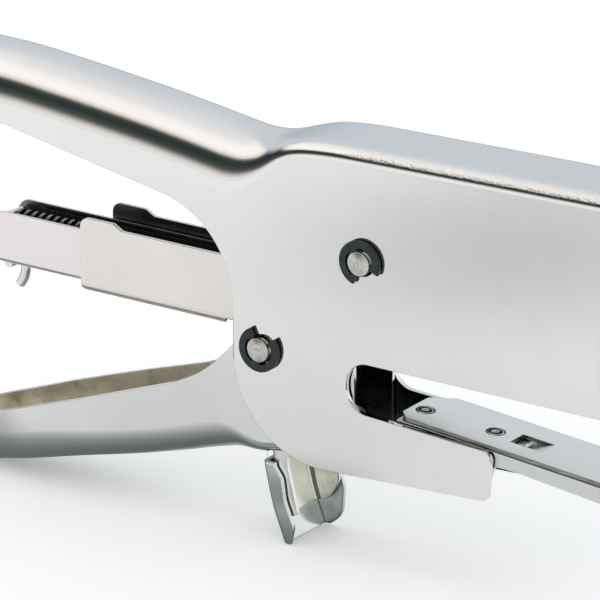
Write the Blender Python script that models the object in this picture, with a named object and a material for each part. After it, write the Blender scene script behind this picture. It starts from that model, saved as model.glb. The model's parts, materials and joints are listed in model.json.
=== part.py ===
"""Plier stapler: a squeeze-handle stapler with a long throat, at rest with its handles open.

The drawing origin is the upper pivot pin. +X runs forward to the nose, +Y is the pins' axis and +Z is up.
Drawing sizes are millimetres, and mesh_object() turns them into metres. The finished part stands on its
lower handle and finger guard, with the frame's origin under the middle of its box.
"""

from math import atan2, cos, hypot, pi, radians, sin, sqrt, tan

import bmesh
import bpy
from mathutils import Vector

MM = 0.001
GAP = 0.3  # clearance between pieces that touch

# Overall
REAR_X = -122.0  # both handles end here
NOSE_X = 74.5  # front of the body
FLOOR_Z = -74.2  # lowest point of the lower handle
BOX_MIDDLE_X = (REAR_X + NOSE_X) / 2
UPPER_PIN = (0.0, 0.0)
LOWER_PIN = (-27.5, -26.35)
PIN_R = 3.0
PIN_END_Y = 12.4
CLIP_GROOVE = (10.55, 11.85)
CLIP_GROOVE_R = 2.5

# Body shell: one folded sheet
SHELL_Y = 10.4  # half of its width
SHELL_T = 1.5
BODY_BEND = 3.8  # bend radius along the top of the body
HANDLE_BEND = (10.1, 15.0)  # across and down: the handle is rounded over to an ellipse
CROWN = [
    (-122, 31.4), (-100, 31.0), (-85, 29.7), (-62, 27.2), (-48, 25.3), (-38, 23.8), (-31, 22.8),
    (-27, 22.9), (-22, 24.2), (-16, 25.6), (-8, 26.4), (6, 26.8), (60, 27.9), (90, 28.4),
]
SIDE_OUTLINE = [  # x, z and corner radius, clockwise from the handle's end
    (-124, 18.4, 0), (-35.5, 2.3, 24), (-35.3, -53.6, 24), (34.0, -50.5, 2.0), (34.9, -38.5, 2.4),
    (-4.3, -36.4, 5.7), (-4.3, -24.45, 5.8), (76, -24.45, 0), (76, 34, 0), (-124, 38, 0),
]
NOSE_CORNER = 2.3  # radius of the upright corners at the nose
NOSE_ROUND = 11.0  # radius where the top web turns down at the nose
END_ROUND = 10.0  # length of the handle's rounded end

# Lower handle: a channel, open upwards, whose walls run forward to the driver
LEVER_Y = 8.6
LEVER_T = 1.2
GRIP_Y = 12.0  # the handle widens behind the body
GRIP_END_Y = 9.8  # and narrows again at its end
GRIP_BEND = (8.6, 9.0)
LEVER_BEND = (3.0, 3.0)
KEEL = [
    (-122, -74.2), (-112, -74.2), (-104, -72.3), (-82, -66.4), (-65, -62.5), (-54.6, -59.8), (-44, -56.6),
    (-33, -53.9), (-20, -51.9), (0, -51.6), (90, -51.6),
]
LEVER_OUTLINE = [
    (-124, -64.8, 0), (-46.0, -38.0, 40), (-16.5, -5.5, 6), (-11.5, 9.5, 7), (12, 10.5, 30), (70.4, 17.2, 4),
    (71.2, 7.8, 3), (66.0, 7.4, 4), (15, -6.0, 40), (-3.3, -8.5, 6), (-3.3, -51.0, 8),
    (-20, -51.4, 0), (-22, -58, 0), (-22, -80, 0), (-124, -80, 0),
]
LEVER_STROKE = radians(21.5)
WEB_END_X = -28.0  # the bottom web stops here, at the finger guard
BUSH_R = 4.5
SMALL_PIN_R = 1.5  # rivets and the spring's pin
GUARD_RIVETS = ((-21.5, -46.0), (-12.5, -46.0))
SPRING_PIN = (-10.5, -0.8)
PIN_SLOT_PLAY = 0.45  # round the lower pin in its arc
PIN_SLOT_SPARE = 0.012  # radians past each end of the stroke

# Finger guard: an outer layer and an inner bracket, both following one curved back
GUARD_BACK = [  # z and x, upwards
    (-76.0, -22.2), (-71.7, -23.85), (-68.5, -25.1), (-65.6, -26.15), (-62.4, -27.05), (-57.8, -28.1),
    (-54.7, -28.75), (-40.0, -31.6),
]
GUARD_TOP = -54.7
GUARD_FLOOR = -73.9
GUARD_BEND = 1.6
BRACKET_BEND = 2.2
BRACKET_Y = 7.1
BRACKET_T = 1.0

# Anvil arm: runs forward under the throat, sloping down
ARM_X = 8.6
ARM_Z = -35.2  # top of the cover plate at its rear end
ARM_SLOPE = radians(5.0)
ARM_Y = 8.6
ARM_T = 1.2
COVER_T = 1.0
COVER_LENGTH = 54.4
COVER_RIVETS = ((3.5, -2.2), (21.8, -1.2))  # along and across the plate
COVER_RIVET_R = 2.0
WINDOW_X = (27.2, 35.6)  # lanced window behind the die
WINDOW_Y = (-3.7, 1.9)
TAB_LENGTH = 5.6
TAB_DROP = 1.5

# Magazine: channel, head and drawer
MAGAZINE_X = (-81.0, 66.3)
MAGAZINE_Y = 7.0
MAGAZINE_T = 1.0
MAGAZINE_BEND = 1.8
MAGAZINE_FLOOR = -24.3
HEAD_X = (62.5, 69.3)
HEAD_FLOOR = -31.7
HEAD_Y = 6.9
NOSE_PLATE_T = 1.3
DRIVER_X = 67.1
DRIVER_PIN = (DRIVER_X, 12.2)
DRIVER_PIN_R = 1.5
DRIVER_PIN_PLAY = (0.8, 1.4, 0.5)  # room in the lever's slot: behind, ahead and above
DRIVER_T = 0.8
DRIVER_FLOOR = -14.0
DRIVER_Y = 5.6
YOKE_FLOOR = 9.0
DRAWER_X = (-107.4, 64.0)
DRAWER_Y = 5.5
DRAWER_T = 0.8
DRAWER_BEND = 1.5
DRAWER_FLOOR = -22.4
DRAWER_TOP = -9.6
SPRING_Z = -13.6
SPRING_R = 3.0
SPRING_WIRE = 0.42
PUSHER_X = (47.0, 61.0)
SPRING_RAIL_X = (-99.5, -26.0)
END_STOP_X = (-105.8, -104.6)
HOOK_X = (-107.2, -84.0)
HOOK_T = 0.8

NICKEL = ((0.80, 0.79, 0.77), 0.18, 1.0)
BRIGHT = ((0.84, 0.83, 0.80), 0.12, 1.0)
STEEL = ((0.58, 0.57, 0.55), 0.35, 1.0)
DARK_STEEL = ((0.045, 0.055, 0.075), 0.38, 1.0)
SPRING_STEEL = ((0.62, 0.60, 0.57), 0.30, 1.0)


def clear_scene():
    for obj in list(bpy.data.objects):
        bpy.data.objects.remove(obj, do_unlink=True)


def axis_empty(name, x, z, parent=None):
    """An empty on a pivot, in drawing coordinates; what it carries is modelled about the drawing origin."""
    empty = bpy.data.objects.new(name, None)
    empty["drawing_x"] = x
    empty["drawing_z"] = z
    if parent is None:
        empty.location = (x * MM - BOX_MIDDLE_X * MM, 0, z * MM - FLOOR_Z * MM)
    else:
        empty.parent = parent
        empty.location = ((x - parent["drawing_x"]) * MM, 0, (z - parent["drawing_z"]) * MM)
    bpy.context.scene.collection.objects.link(empty)
    return empty


def carry(obj, pivot):
    obj.parent = pivot
    obj.location = (-pivot["drawing_x"] * MM, 0, -pivot["drawing_z"] * MM)


def metal(name, finish):
    colour, roughness, metallic = finish
    material = bpy.data.materials.new(name + "_metal")
    material.use_nodes = True
    shader = material.node_tree.nodes["Principled BSDF"]
    shader.inputs["Base Color"].default_value = (*colour, 1)
    shader.inputs["Roughness"].default_value = roughness
    shader.inputs["Metallic"].default_value = metallic
    return material


def mesh_object(name, points, faces):
    """A solid from points in drawing millimetres, with its faces turned to point out."""
    mesh = bpy.data.meshes.new(name)
    mesh.from_pydata([Vector(p) * MM for p in points], [], faces)
    shape = bmesh.new()
    shape.from_mesh(mesh)
    bmesh.ops.recalc_face_normals(shape, faces=shape.faces)
    shape.to_mesh(mesh)
    shape.free()
    obj = bpy.data.objects.new(name, mesh)
    bpy.context.scene.collection.objects.link(obj)
    return obj


def finish(obj, pivot, look):
    """Places a finished piece on its pivot and gives it its metal."""
    carry(obj, pivot)
    obj.data.materials.append(metal(obj.name, look))
    obj.data.shade_smooth()
    obj.data.set_sharp_from_angle(angle=radians(32))
    return obj


def combine(target, tools, operation="DIFFERENCE"):
    """Joins the tools to the target, or cuts them from it, and removes them."""
    for tool in tools:
        modifier = target.modifiers.new("combine", "BOOLEAN")
        modifier.operation = operation
        modifier.solver = "EXACT"
        modifier.object = tool
        bpy.context.view_layer.update()
        graph = bpy.context.evaluated_depsgraph_get()
        result = bpy.data.meshes.new_from_object(target.evaluated_get(graph))
        target.modifiers.clear()
        spent = target.data
        target.data = result
        bpy.data.meshes.remove(spent)
        bpy.data.objects.remove(tool, do_unlink=True)
    target.data.name = target.name
    return target


# Outlines and curves


def rounded(corners, step=radians(15)):
    """A closed outline from (a, b, radius) corners, with an arc at each corner that has a radius."""
    outline = []
    for i, (a, b, radius) in enumerate(corners):
        here = Vector((a, b))
        if not radius:
            outline.append((a, b))
            continue
        back = (Vector(corners[i - 1][:2]) - here).normalized()
        ahead = (Vector(corners[(i + 1) % len(corners)][:2]) - here).normalized()
        half = back.angle(ahead) / 2
        centre = here + (back + ahead).normalized() * radius / sin(half)
        start = here + back * radius / tan(half) - centre
        end = here + ahead * radius / tan(half) - centre
        turn = atan2(start.x * end.y - start.y * end.x, start.dot(end))
        count = max(2, round(abs(turn) / step))
        for k in range(count + 1):
            angle = turn * k / count
            x = start.x * cos(angle) - start.y * sin(angle)
            y = start.x * sin(angle) + start.y * cos(angle)
            outline.append((centre.x + x, centre.y + y))
    return outline


def along(points, x):
    """Height at x of a smooth curve through the points (Catmull-Rom)."""
    last = len(points) - 1
    i = max(k for k in range(last) if k == 0 or points[k][0] <= x)
    (x0, z0), (x1, z1) = points[i], points[i + 1]
    before = points[max(i - 1, 0)]
    after = points[min(i + 2, last)]
    slope0 = (z1 - before[1]) / (x1 - before[0])
    slope1 = (after[1] - z0) / (after[0] - x0)
    t = (x - x0) / (x1 - x0)
    span = x1 - x0
    return (
        z0 * (2 * t**3 - 3 * t**2 + 1)
        + slope0 * span * (t**3 - 2 * t**2 + t)
        + z1 * (3 * t**2 - 2 * t**3)
        + slope1 * span * (t**3 - t**2)
    )


def blend(x, x0, x1, value0, value1):
    """value0 up to x0, value1 from x1, and a smooth step between."""
    t = min(max((x - x0) / (x1 - x0), 0), 1)
    return value0 + (value1 - value0) * t * t * (3 - 2 * t)


def circle(x, z, radius, count=24):
    angles = [2 * pi * k / count for k in range(count)]
    return [(x + radius * cos(angle), z + radius * sin(angle)) for angle in angles]


# Solids


def prism(name, outline, y0, y1):
    """An outline in X and Z, run along Y."""
    n = len(outline)
    points = [(x, y, z) for y in (y0, y1) for x, z in outline]
    faces = [[k, (k + 1) % n, n + (k + 1) % n, n + k] for k in range(n)]
    return mesh_object(name, points, [*faces, list(range(n)), list(range(n, 2 * n))])


def stacked(name, outline, levels):
    """An outline in X and Y, repeated at each level's height and moved along X by its shift."""
    n = len(outline)
    points = [(x + shift, y, z) for z, shift in levels for x, y in outline]
    faces = [
        [i * n + k, i * n + (k + 1) % n, (i + 1) * n + (k + 1) % n, (i + 1) * n + k]
        for i in range(len(levels) - 1)
        for k in range(n)
    ]
    last = (len(levels) - 1) * n
    return mesh_object(name, points, [*faces, list(range(n)), list(range(last, last + n))])


def slab(name, outline, z0, z1):
    """An outline in X and Y, run along Z."""
    return stacked(name, outline, [(z0, 0), (z1, 0)])


def block(name, x, y, z):
    return prism(name, [(x[0], z[0]), (x[1], z[0]), (x[1], z[1]), (x[0], z[1])], *y)


def turned(name, profile, place, axis="Y", count=24):
    """A profile of (position, radius) pairs turned about an axis; it starts and ends on the axis."""
    points = []
    for at, radius in profile:
        ring = [(0.0, 0.0)] if radius == 0 else circle(0, 0, radius, count)
        for a, b in ring:
            spot = {"X": (at, a, b), "Y": (a, at, b), "Z": (a, b, at)}[axis]
            points.append(tuple(s + p for s, p in zip(spot, place)))
    faces = []
    start = 0
    for (_, radius), (_, after) in zip(profile, profile[1:]):
        size, next_size = (1 if not r else count for r in (radius, after))
        for k in range(count):
            j = (k + 1) % count
            here = [start + k % size, start + j % size]
            beyond = [start + size + j % next_size, start + size + k % next_size]
            faces.append(list(dict.fromkeys(here + beyond)))
        start += size
    return mesh_object(name, points, faces)


def tube(name, x, z, inner, outer, y0, y1, count=24):
    ring = turned(name, [(y0, 0), (y0, outer), (y1, outer), (y1, 0)], (x, 0, z), count=count)
    return combine(ring, [rod("bore", x, z, inner, y0 - 1, y1 + 1, count)])


def rod(name, x, z, radius, y0, y1, count=24):
    return turned(name, [(y0, 0), (y0, radius), (y1, radius), (y1, 0)], (x, 0, z), count=count)


def channel(name, stations, far_z, corner_steps=6):
    """A solid lofted through stations of x, half width, height, bend across and bend down, out to far_z."""
    up = 1 if stations[0][2] > far_z else -1
    turns = [pi / 2 * k / corner_steps for k in range(corner_steps + 1)]
    points = []
    for x, width, height, across, down in stations:
        right = [(width - across * (1 - cos(turn)), height - up * down * (1 - sin(turn))) for turn in turns]
        section = [(width, far_z), *right, *[(-y, z) for y, z in reversed(right)], (-width, far_z)]
        points += [(x, y, z) for y, z in section]
    n = len(points) // len(stations)
    faces = [
        [i * n + k, i * n + (k + 1) % n, (i + 1) * n + (k + 1) % n, (i + 1) * n + k]
        for i in range(len(stations) - 1)
        for k in range(n)
    ]
    last = (len(stations) - 1) * n
    return mesh_object(name, points, [*faces, list(range(n)), list(range(last, last + n))])


def wire(name, route, radius, sides=6):
    """A round wire along a route of points, with flat ends."""
    points = []
    side = None
    for i, place in enumerate(route):
        place = Vector(place)
        heading = (Vector(route[min(i + 1, len(route) - 1)]) - Vector(route[max(i - 1, 0)])).normalized()
        if side is None:
            side = heading.orthogonal()
        side = (side - heading * side.dot(heading)).normalized()
        other = heading.cross(side)
        for k in range(sides):
            angle = 2 * pi * k / sides
            points.append(place + radius * (side * cos(angle) + other * sin(angle)))
    faces = [
        [i * sides + k, i * sides + (k + 1) % sides, (i + 1) * sides + (k + 1) % sides, (i + 1) * sides + k]
        for i in range(len(route) - 1)
        for k in range(sides)
    ]
    last = (len(route) - 1) * sides
    return mesh_object(name, points, [*faces, list(range(sides)), list(range(last, last + sides))])


# Body


def shell_stations(inset):
    """Sections of the shell's outside, or of its inside when inset by the sheet's thickness."""
    stations = []
    end = END_ROUND - inset
    for k in (4, 3, 2, 1):
        angle = radians(20) * k
        x = REAR_X + inset + end * (1 - sin(angle) / sin(radians(80)))
        crown = along(CROWN, x) - 6 * (1 - cos(angle))
        width = (SHELL_Y - inset) * cos(angle)
        stations.append((x, width, crown - inset, width * 0.97, 12 * cos(angle)))
    handle = [-112, -104, -96, -88, -80, -72, -64, -56, -49, -43, -38]
    neck = [-34, -31, -28.5, -26, -23.5, -21, -18, -15, -11, -6]
    for x in [*handle, *neck, 4.5, 22, 43, NOSE_X - NOSE_ROUND]:
        across = max(blend(x, -36, -17, HANDLE_BEND[0], BODY_BEND) - inset, 0.6)
        down = max(blend(x, -40, -19, HANDLE_BEND[1], BODY_BEND) - inset, 0.6)
        stations.append((x, SHELL_Y - inset, along(CROWN, x) - inset, across, down))
    turn = NOSE_ROUND - inset
    top = along(CROWN, NOSE_X - NOSE_ROUND)
    corner = NOSE_CORNER - inset
    bend = BODY_BEND - inset
    for k in range(1, 7):
        angle = radians(15) * k
        x = NOSE_X - NOSE_ROUND + turn * sin(angle)
        depth = max(x - (NOSE_X - NOSE_CORNER), 0)
        width = SHELL_Y - inset - corner + sqrt(max(corner**2 - depth**2, 0))
        stations.append((x, width, top - NOSE_ROUND + turn * cos(angle), bend, bend))
    return stations


def body_shell():
    shell = channel("body_shell", shell_stations(0), -60)
    hollow = channel("hollow", shell_stations(SHELL_T), -62)
    combine(shell, [hollow])
    combine(shell, [prism("sides", rounded(SIDE_OUTLINE), -14, 14)], "INTERSECT")
    holes = [rod("hole", x, z, PIN_R + GAP, -14, 14) for x, z in (UPPER_PIN, LOWER_PIN)]
    return combine(shell, holes)


def pivot_pin(name, x, z):
    """A pin with a clip groove, a chamfer and a centre dimple at each end."""
    inner, outer = CLIP_GROOVE
    half = [
        (PIN_END_Y - 0.35, 0), (PIN_END_Y - 0.35, 0.35), (PIN_END_Y, 0.7), (PIN_END_Y, PIN_R - 0.4),
        (PIN_END_Y - 0.3, PIN_R), (outer, PIN_R), (outer, CLIP_GROOVE_R), (inner, CLIP_GROOVE_R),
        (inner, PIN_R),
    ]
    profile = [(-y, r) for y, r in half] + [(y, r) for y, r in reversed(half)]
    return turned(name, profile, (x, 0, z))


def retaining_clip(name, x, z, opening, half_gap, side):
    """An E-clip: a ring open on one side, with three teeth in the pin's groove."""
    outer, inner, tooth = 5.4, 3.6, CLIP_GROOVE_R + GAP
    start = opening + half_gap
    sweep = 360 - 2 * half_gap
    count = 30
    outline = []
    for k in range(count + 1):
        angle = radians(start + sweep * k / count)
        outline.append((x + outer * cos(angle), z + outer * sin(angle)))
    for k in range(count, -1, -1):
        part = k / count
        near = min(abs(part - at) for at in (0.0, 0.5, 1.0))
        radius = tooth if near < 0.052 else inner
        angle = radians(start + sweep * part)
        outline.append((x + radius * cos(angle), z + radius * sin(angle)))
    faces = [side * (CLIP_GROOVE[0] + 0.15), side * (CLIP_GROOVE[1] - 0.15)]
    return prism(name, outline, *sorted(faces))


def pins_and_clips(pivot):
    for name, (x, z), opening, half_gap in (
        ("upper", UPPER_PIN, -65, 42),
        ("lower", LOWER_PIN, 77, 38.5),
    ):
        finish(pivot_pin(name + "_pivot_pin", x, z), pivot, STEEL)
        for side_name, side in (("near", -1), ("far", 1)):
            clip = retaining_clip(f"{name}_clip_{side_name}", x, z, opening, half_gap, side)
            finish(clip, pivot, DARK_STEEL)


# Anvil


def arm_axis(parent):
    axis = axis_empty("anvil_slope", ARM_X, ARM_Z, parent)
    axis.rotation_euler.y = ARM_SLOPE
    return axis


def finish_on_arm(obj, axis, look):
    """As finish(), for a piece drawn about the arm's own rear end."""
    finish(obj, axis, look)
    obj.location = (0, 0, 0)


def anvil_arm():
    """The arm's channel: a web under the cover plate and two walls, deep inside the lip and shallow ahead."""
    end = 64.5
    top = -COVER_T - GAP
    outline = rounded([
        (0, top, 0), (end, top, 1.5), (end, -5.4, 2), (30, -4.4, 3), (26.6, -4.6, 1.5), (24.5, -12.6, 2),
        (1.5, -14.2, 2), (0, -10, 3),
    ])
    arm = prism("anvil_arm", outline, -ARM_Y, ARM_Y)
    hollow = block("hollow", (-2, end - ARM_T), (-ARM_Y + ARM_T, ARM_Y - ARM_T), (-20, top - ARM_T))
    x1 = WINDOW_X[1]
    y0, y1 = WINDOW_Y
    window = block("window", (x1 - TAB_LENGTH - 1, x1 + 0.6), (y0 - 0.8, y1 + 0.8), (-8, 2))
    bore = [(-8, 0), (-8, 1.5), (2, 1.5), (2, 0)]
    holes = [turned("hole", bore, (x, y, 0), "Z", 16) for x, y in COVER_RIVETS]
    return combine(arm, [hollow, window, *holes])


def anvil_cover_plate():
    """The cover plate, with chamfered rear corners, and a tab lanced down through its window."""
    outline = rounded([
        (0, -ARM_Y + 2.2, 1.5), (2.2, -ARM_Y, 1.5), (COVER_LENGTH, -ARM_Y, 0), (COVER_LENGTH, ARM_Y, 0),
        (5.5, ARM_Y, 2), (0, ARM_Y - 4.2, 2),
    ])
    plate = slab("anvil_cover_plate", outline, -COVER_T, 0)
    window = block("window", WINDOW_X, WINDOW_Y, (-3, 2))
    bore = [(-3, 0), (-3, COVER_RIVET_R + GAP), (2, COVER_RIVET_R + GAP), (2, 0)]
    holes = [turned("hole", bore, (x, y, 0), "Z") for x, y in COVER_RIVETS]
    combine(plate, [window, *holes])
    hinge = WINDOW_X[1]
    end = hinge - TAB_LENGTH
    tab = [
        (hinge + 0.5, -0.05), (hinge + 0.5, -0.95), (hinge - 0.3, -0.95), (end - 0.25, -TAB_DROP - 0.9),
        (end, -TAB_DROP), (hinge - 0.1, -0.05),
    ]
    return combine(plate, [prism("tab", tab, WINDOW_Y[0] + GAP, WINDOW_Y[1] - GAP)], "UNION")


def cover_rivet(name, x, y):
    """A flush rivet with a ring groove in its head."""
    profile = [
        (-3.4, 0), (-3.4, 2.4), (-2.8, 2.4), (-2.8, 1.2), (-1.1, 1.2), (-1.1, 2.0), (0.05, 2.0), (0.05, 1.6),
        (-0.35, 1.5), (-0.35, 1.15), (0.1, 1.05), (0.1, 0),
    ]
    return turned(name, profile, (x, y, 0), "Z")


def anvil_die():
    """The die that curls the staple's legs, with a groove for each leg."""
    x0 = COVER_LENGTH + GAP
    outline = rounded([(x0, -7.6, 1), (x0 + 9.4, -7.6, 2), (x0 + 9.4, 7.6, 2), (x0, 7.6, 1)])
    die = slab("anvil_die", outline, -COVER_T, 0.0)
    middle = DRIVER_X - ARM_X - 1.2
    grooves = [
        slab("groove", rounded([(middle - 0.7, y - 2.6, 0.6), (middle + 0.7, y - 2.6, 0.6),
                                (middle + 0.7, y + 2.6, 0.6), (middle - 0.7, y + 2.6, 0.6)]), -0.5, 1)
        for y in (-3.6, 3.6)
    ]
    return combine(die, grooves)


# Lower handle


def lever_stations(inset):
    stations = []
    end = END_ROUND - inset
    for k in (4, 3, 2, 1):
        angle = radians(20) * k
        x = REAR_X + inset + end * (1 - sin(angle) / sin(radians(80)))
        keel = along(KEEL, x) + 7 * (1 - cos(angle))
        width = (GRIP_END_Y - inset) * cos(angle)
        stations.append((x, width, keel + inset, width * 0.95, 8 * cos(angle)))
    for x in (-112, -104, -96, -88, -80, -72, -64, -56, -50, -45, -40, -35, -31, -26, -13, 5.5, 74):
        width = min(blend(x, -112, -94, GRIP_END_Y, GRIP_Y), blend(x, -84, -42, GRIP_Y, LEVER_Y))
        across, down = (blend(x, -42, -28, grip, lever) for grip, lever in zip(GRIP_BEND, LEVER_BEND))
        across = min(across, 0.9 * width)
        stations.append((x, width - inset, along(KEEL, x) + inset, across - inset * 0.8, down - inset * 0.8))
    return stations


def pin_slot():
    """The arc that the lower pin follows in the lever's walls, with round ends."""
    radius = hypot(*LOWER_PIN)
    start = atan2(LOWER_PIN[1], LOWER_PIN[0])
    half = PIN_R + PIN_SLOT_PLAY
    first = start - PIN_SLOT_SPARE
    last = start + LEVER_STROKE + PIN_SLOT_SPARE
    outline = []
    for edge, begin, end, turn in ((radius + half, first, last, 0), (radius - half, last, first, pi)):
        for k in range(9):
            angle = begin + (end - begin) * k / 8
            outline.append((edge * cos(angle), edge * sin(angle)))
        for k in range(1, 6):
            angle = end + turn + pi * k / 6
            outline.append((radius * cos(end) + half * cos(angle), radius * sin(end) + half * sin(angle)))
    return outline


def lower_handle():
    handle = channel("lower_handle", lever_stations(0), 40)
    hollow = channel("hollow", lever_stations(LEVER_T), 42)
    combine(handle, [hollow])
    combine(handle, [prism("sides", rounded(LEVER_OUTLINE), -14, 14)], "INTERSECT")
    open_front = block("open_front", (WEB_END_X, 80), (-LEVER_Y + LEVER_T, LEVER_Y - LEVER_T), (-60, -40))
    x, z = DRIVER_PIN
    behind, ahead, above = DRIVER_PIN_PLAY
    play = DRIVER_PIN_R + above
    slot = prism("slot", rounded([
        (x - play - behind, z - play, play), (x + play + ahead, z - play, play),
        (x + play + ahead, z + play, play), (x - play - behind, z + play, play),
    ]), -14, 14)
    bush_hole = rod("bush_hole", *UPPER_PIN, BUSH_R + GAP, -14, 14)
    small = [rod("hole", *place, SMALL_PIN_R + GAP, -14, 14, 16) for place in (*GUARD_RIVETS, SPRING_PIN)]
    return combine(handle, [open_front, bush_hole, prism("arc", pin_slot(), -14, 14), slot, *small])


def guard_section(name, half, thickness, bend, setback):
    """A channel open towards the nose, lofted up the guard's back and set forward of it."""
    inner = half - thickness
    outside = rounded([(16, half, 0), (0, half, bend), (0, -half, bend), (16, -half, 0)])
    inside = rounded([
        (17, inner, 0), (thickness, inner, bend - thickness), (thickness, -inner, bend - thickness),
        (17, -inner, 0),
    ])
    levels = [(z, x + setback) for z, x in GUARD_BACK]
    (low, low_shift), (high, high_shift) = levels[0], levels[-1]
    longer = [(low - 1, low_shift), *levels[1:-1], (high + 1, high_shift)]
    return combine(stacked(name, outside, levels), [stacked("inside", inside, longer)])


def trim_near_wall(obj, front):
    """Cuts the near wall back to a front edge, so that the far wall reaches further forward."""
    ahead = [(-5, front[0][1], 0), *front, (-5, front[-1][1], 0)]
    return combine(obj, [prism("near_front", rounded(ahead), -14, 0)])


def finger_guard():
    """The outer layer of the guard, tapering to its foot, with a wider wall on the far side."""
    guard = guard_section("finger_guard", LEVER_Y, LEVER_T, GUARD_BEND, 0)
    keep = prism("keep", rounded([
        (-34, GUARD_TOP, 0), (-19.5, GUARD_TOP, 3), (-16.6, -64.0, 6), (-17.2, -71.2, 5),
        (-20.4, GUARD_FLOOR, 1.5), (-34, GUARD_FLOOR, 0),
    ]), -14, 14)
    combine(guard, [keep], "INTERSECT")
    return trim_near_wall(guard, [
        (-25.4, -50, 0), (-25.1, -55.6, 1.5), (-23.2, -58.2, 2.5), (-22.4, -63.6, 8), (-19.9, -69.4, 3),
        (-22.0, -80, 0),
    ])


def guard_bracket():
    """The inner layer, which runs up between the lever's walls and is riveted to them."""
    setback = LEVER_T + GAP
    bracket = guard_section("guard_bracket", BRACKET_Y, BRACKET_T, BRACKET_BEND, setback)
    keep = prism("keep", rounded([
        (-34, -42.0, 0), (-9.5, -42.0, 3), (-9.5, -49.6, 3), (-18.2, -53.8, 3), (-16.9, -62.0, 5),
        (-19.8, -67.2, 4), (-25, -67.9, 0), (-34, -67.9, 0),
    ]), -14, 14)
    combine(bracket, [keep], "INTERSECT")
    wing = rounded([(-27.0, -42.0, 2), (-9.5, -42.0, 3), (-9.5, -49.6, 3), (-27, -51.5, 2)])
    for side in (-1, 1):
        faces = sorted((side * BRACKET_Y, side * (BRACKET_Y - BRACKET_T)))
        combine(bracket, [prism("wing", wing, *faces)], "UNION")
    trim_near_wall(bracket, [(-22.4, -53.0, 0), (-22.4, -55.6, 4), (-19.2, -68.0, 3), (-19.2, -80, 0)])
    holes = [rod("hole", *place, SMALL_PIN_R + GAP, -14, 14, 16) for place in GUARD_RIVETS]
    return combine(bracket, holes)


def stepped_pin(name, x, z, radius, length):
    chamfer = 0.3
    profile = [(-length, 0), (-length, radius - chamfer), (-length + chamfer, radius)]
    return turned(name, profile + [(-y, r) for y, r in reversed(profile)], (x, 0, z), count=16)


def handle_return_spring():
    """A torsion spring round the bush, with one leg under the top web and one on the spring pin."""
    turns, pitch, radius, steps = 6.0, 1.9, 5.9, 12
    start = radians(125)
    route = []
    width = turns * pitch
    leg_top = (cos(start - pi / 2), sin(start - pi / 2))
    first = (radius * cos(start), -width / 2, radius * sin(start))
    route += [(first[0] + leg_top[0] * d, first[1], first[2] + leg_top[1] * d) for d in (20, 12, 4)]
    for k in range(int(turns * steps) + 6):
        angle = start + 2 * pi * k / steps
        route.append((radius * cos(angle), -width / 2 + pitch * k / steps, radius * sin(angle)))
    last = Vector(route[-1])
    heading = (last - Vector(route[-2])).normalized()
    heading.y = 0
    route += [tuple(last + heading * d) for d in (2.0, 5.0)]
    return wire("handle_return_spring", route, 0.6, 6)


# Magazine


def folded_channel(name, x, half, floor, thickness, bend):
    """A straight channel folded from strip, open upwards and taller than it will be cut."""
    x0, x1 = x
    body = channel(name, [(x0, half, floor, bend, bend), (x1, half, floor, bend, bend)], 6, 4)
    inner = [half - thickness, floor + thickness, bend - thickness, bend - thickness]
    hollow = channel("hollow", [(x0 - 2, *inner), (x1 + 2, *inner)], 8, 4)
    return combine(body, [hollow])


def magazine_channel():
    """The outer channel, with raised ears at the rear and lugs round the lower pin."""
    x0, x1 = MAGAZINE_X
    px, pz = LOWER_PIN
    body = folded_channel(
        "magazine_channel", MAGAZINE_X, MAGAZINE_Y, MAGAZINE_FLOOR, MAGAZINE_T, MAGAZINE_BEND
    )
    outline = rounded([
        (x0 + 1.8, -26, 0), (x0 - 0.01, -23.2, 1.2), (x0 - 0.01, -5.9, 2.4), (-71.5, -5.9, 1.2),
        (-69.0, -7.3, 1.2), (x1 + 1, -7.3, 0), (x1 + 1, -26, 0), (-33.0, -26, 0),
        (-33.0, MAGAZINE_FLOOR + 1.6, 0.5), (-39.8, MAGAZINE_FLOOR + 1.6, 0.6), (-41.6, -26, 0),
    ])
    combine(body, [prism("sides", outline, -14, 14)], "INTERSECT")
    inner = MAGAZINE_Y - MAGAZINE_T
    window = block("window", (-42.5, -15), (-inner + 0.4, inner - 0.4), (-40, -20))
    combine(body, [window])
    lug = rounded([
        (px - 5, -19, 1), (px + 8.5, -19, 1), (px + 7.5, pz - 3.5, 3), (px + 2, pz - 6, 4),
        (px - 5, pz - 5.5, 4),
    ])
    for side in (-1, 1):
        faces = sorted((side * (inner + 0.1), side * (MAGAZINE_Y - 0.1)))
        combine(body, [prism("lug", lug, *faces)], "UNION")
    return combine(body, [rod("hole", px, pz, PIN_R + GAP, -14, 14)])


def magazine_head():
    """The block under the channel's front end that presses the paper, with the slot for the staple."""
    x0, x1 = HEAD_X
    top = MAGAZINE_FLOOR - GAP
    outline = rounded([(x0, HEAD_FLOOR, 2.0), (x1, HEAD_FLOOR, 0.8), (x1, top, 0), (x0, top, 0)])
    head = prism("magazine_head", outline, -HEAD_Y, HEAD_Y)
    slot = block("slot", (DRIVER_X - 0.75, DRIVER_X + 0.75), (-6.3, 6.3), (-40, -20))
    return combine(head, [slot])


def nose_front_plate():
    x1 = HEAD_X[1]
    x0 = x1 - NOSE_PLATE_T
    outline = rounded([(x0, MAGAZINE_FLOOR, 0), (x1, MAGAZINE_FLOOR, 0), (x1, -10, 0.5), (x0, -10, 0)])
    return prism("nose_front_plate", outline, -HEAD_Y, HEAD_Y)


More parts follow.
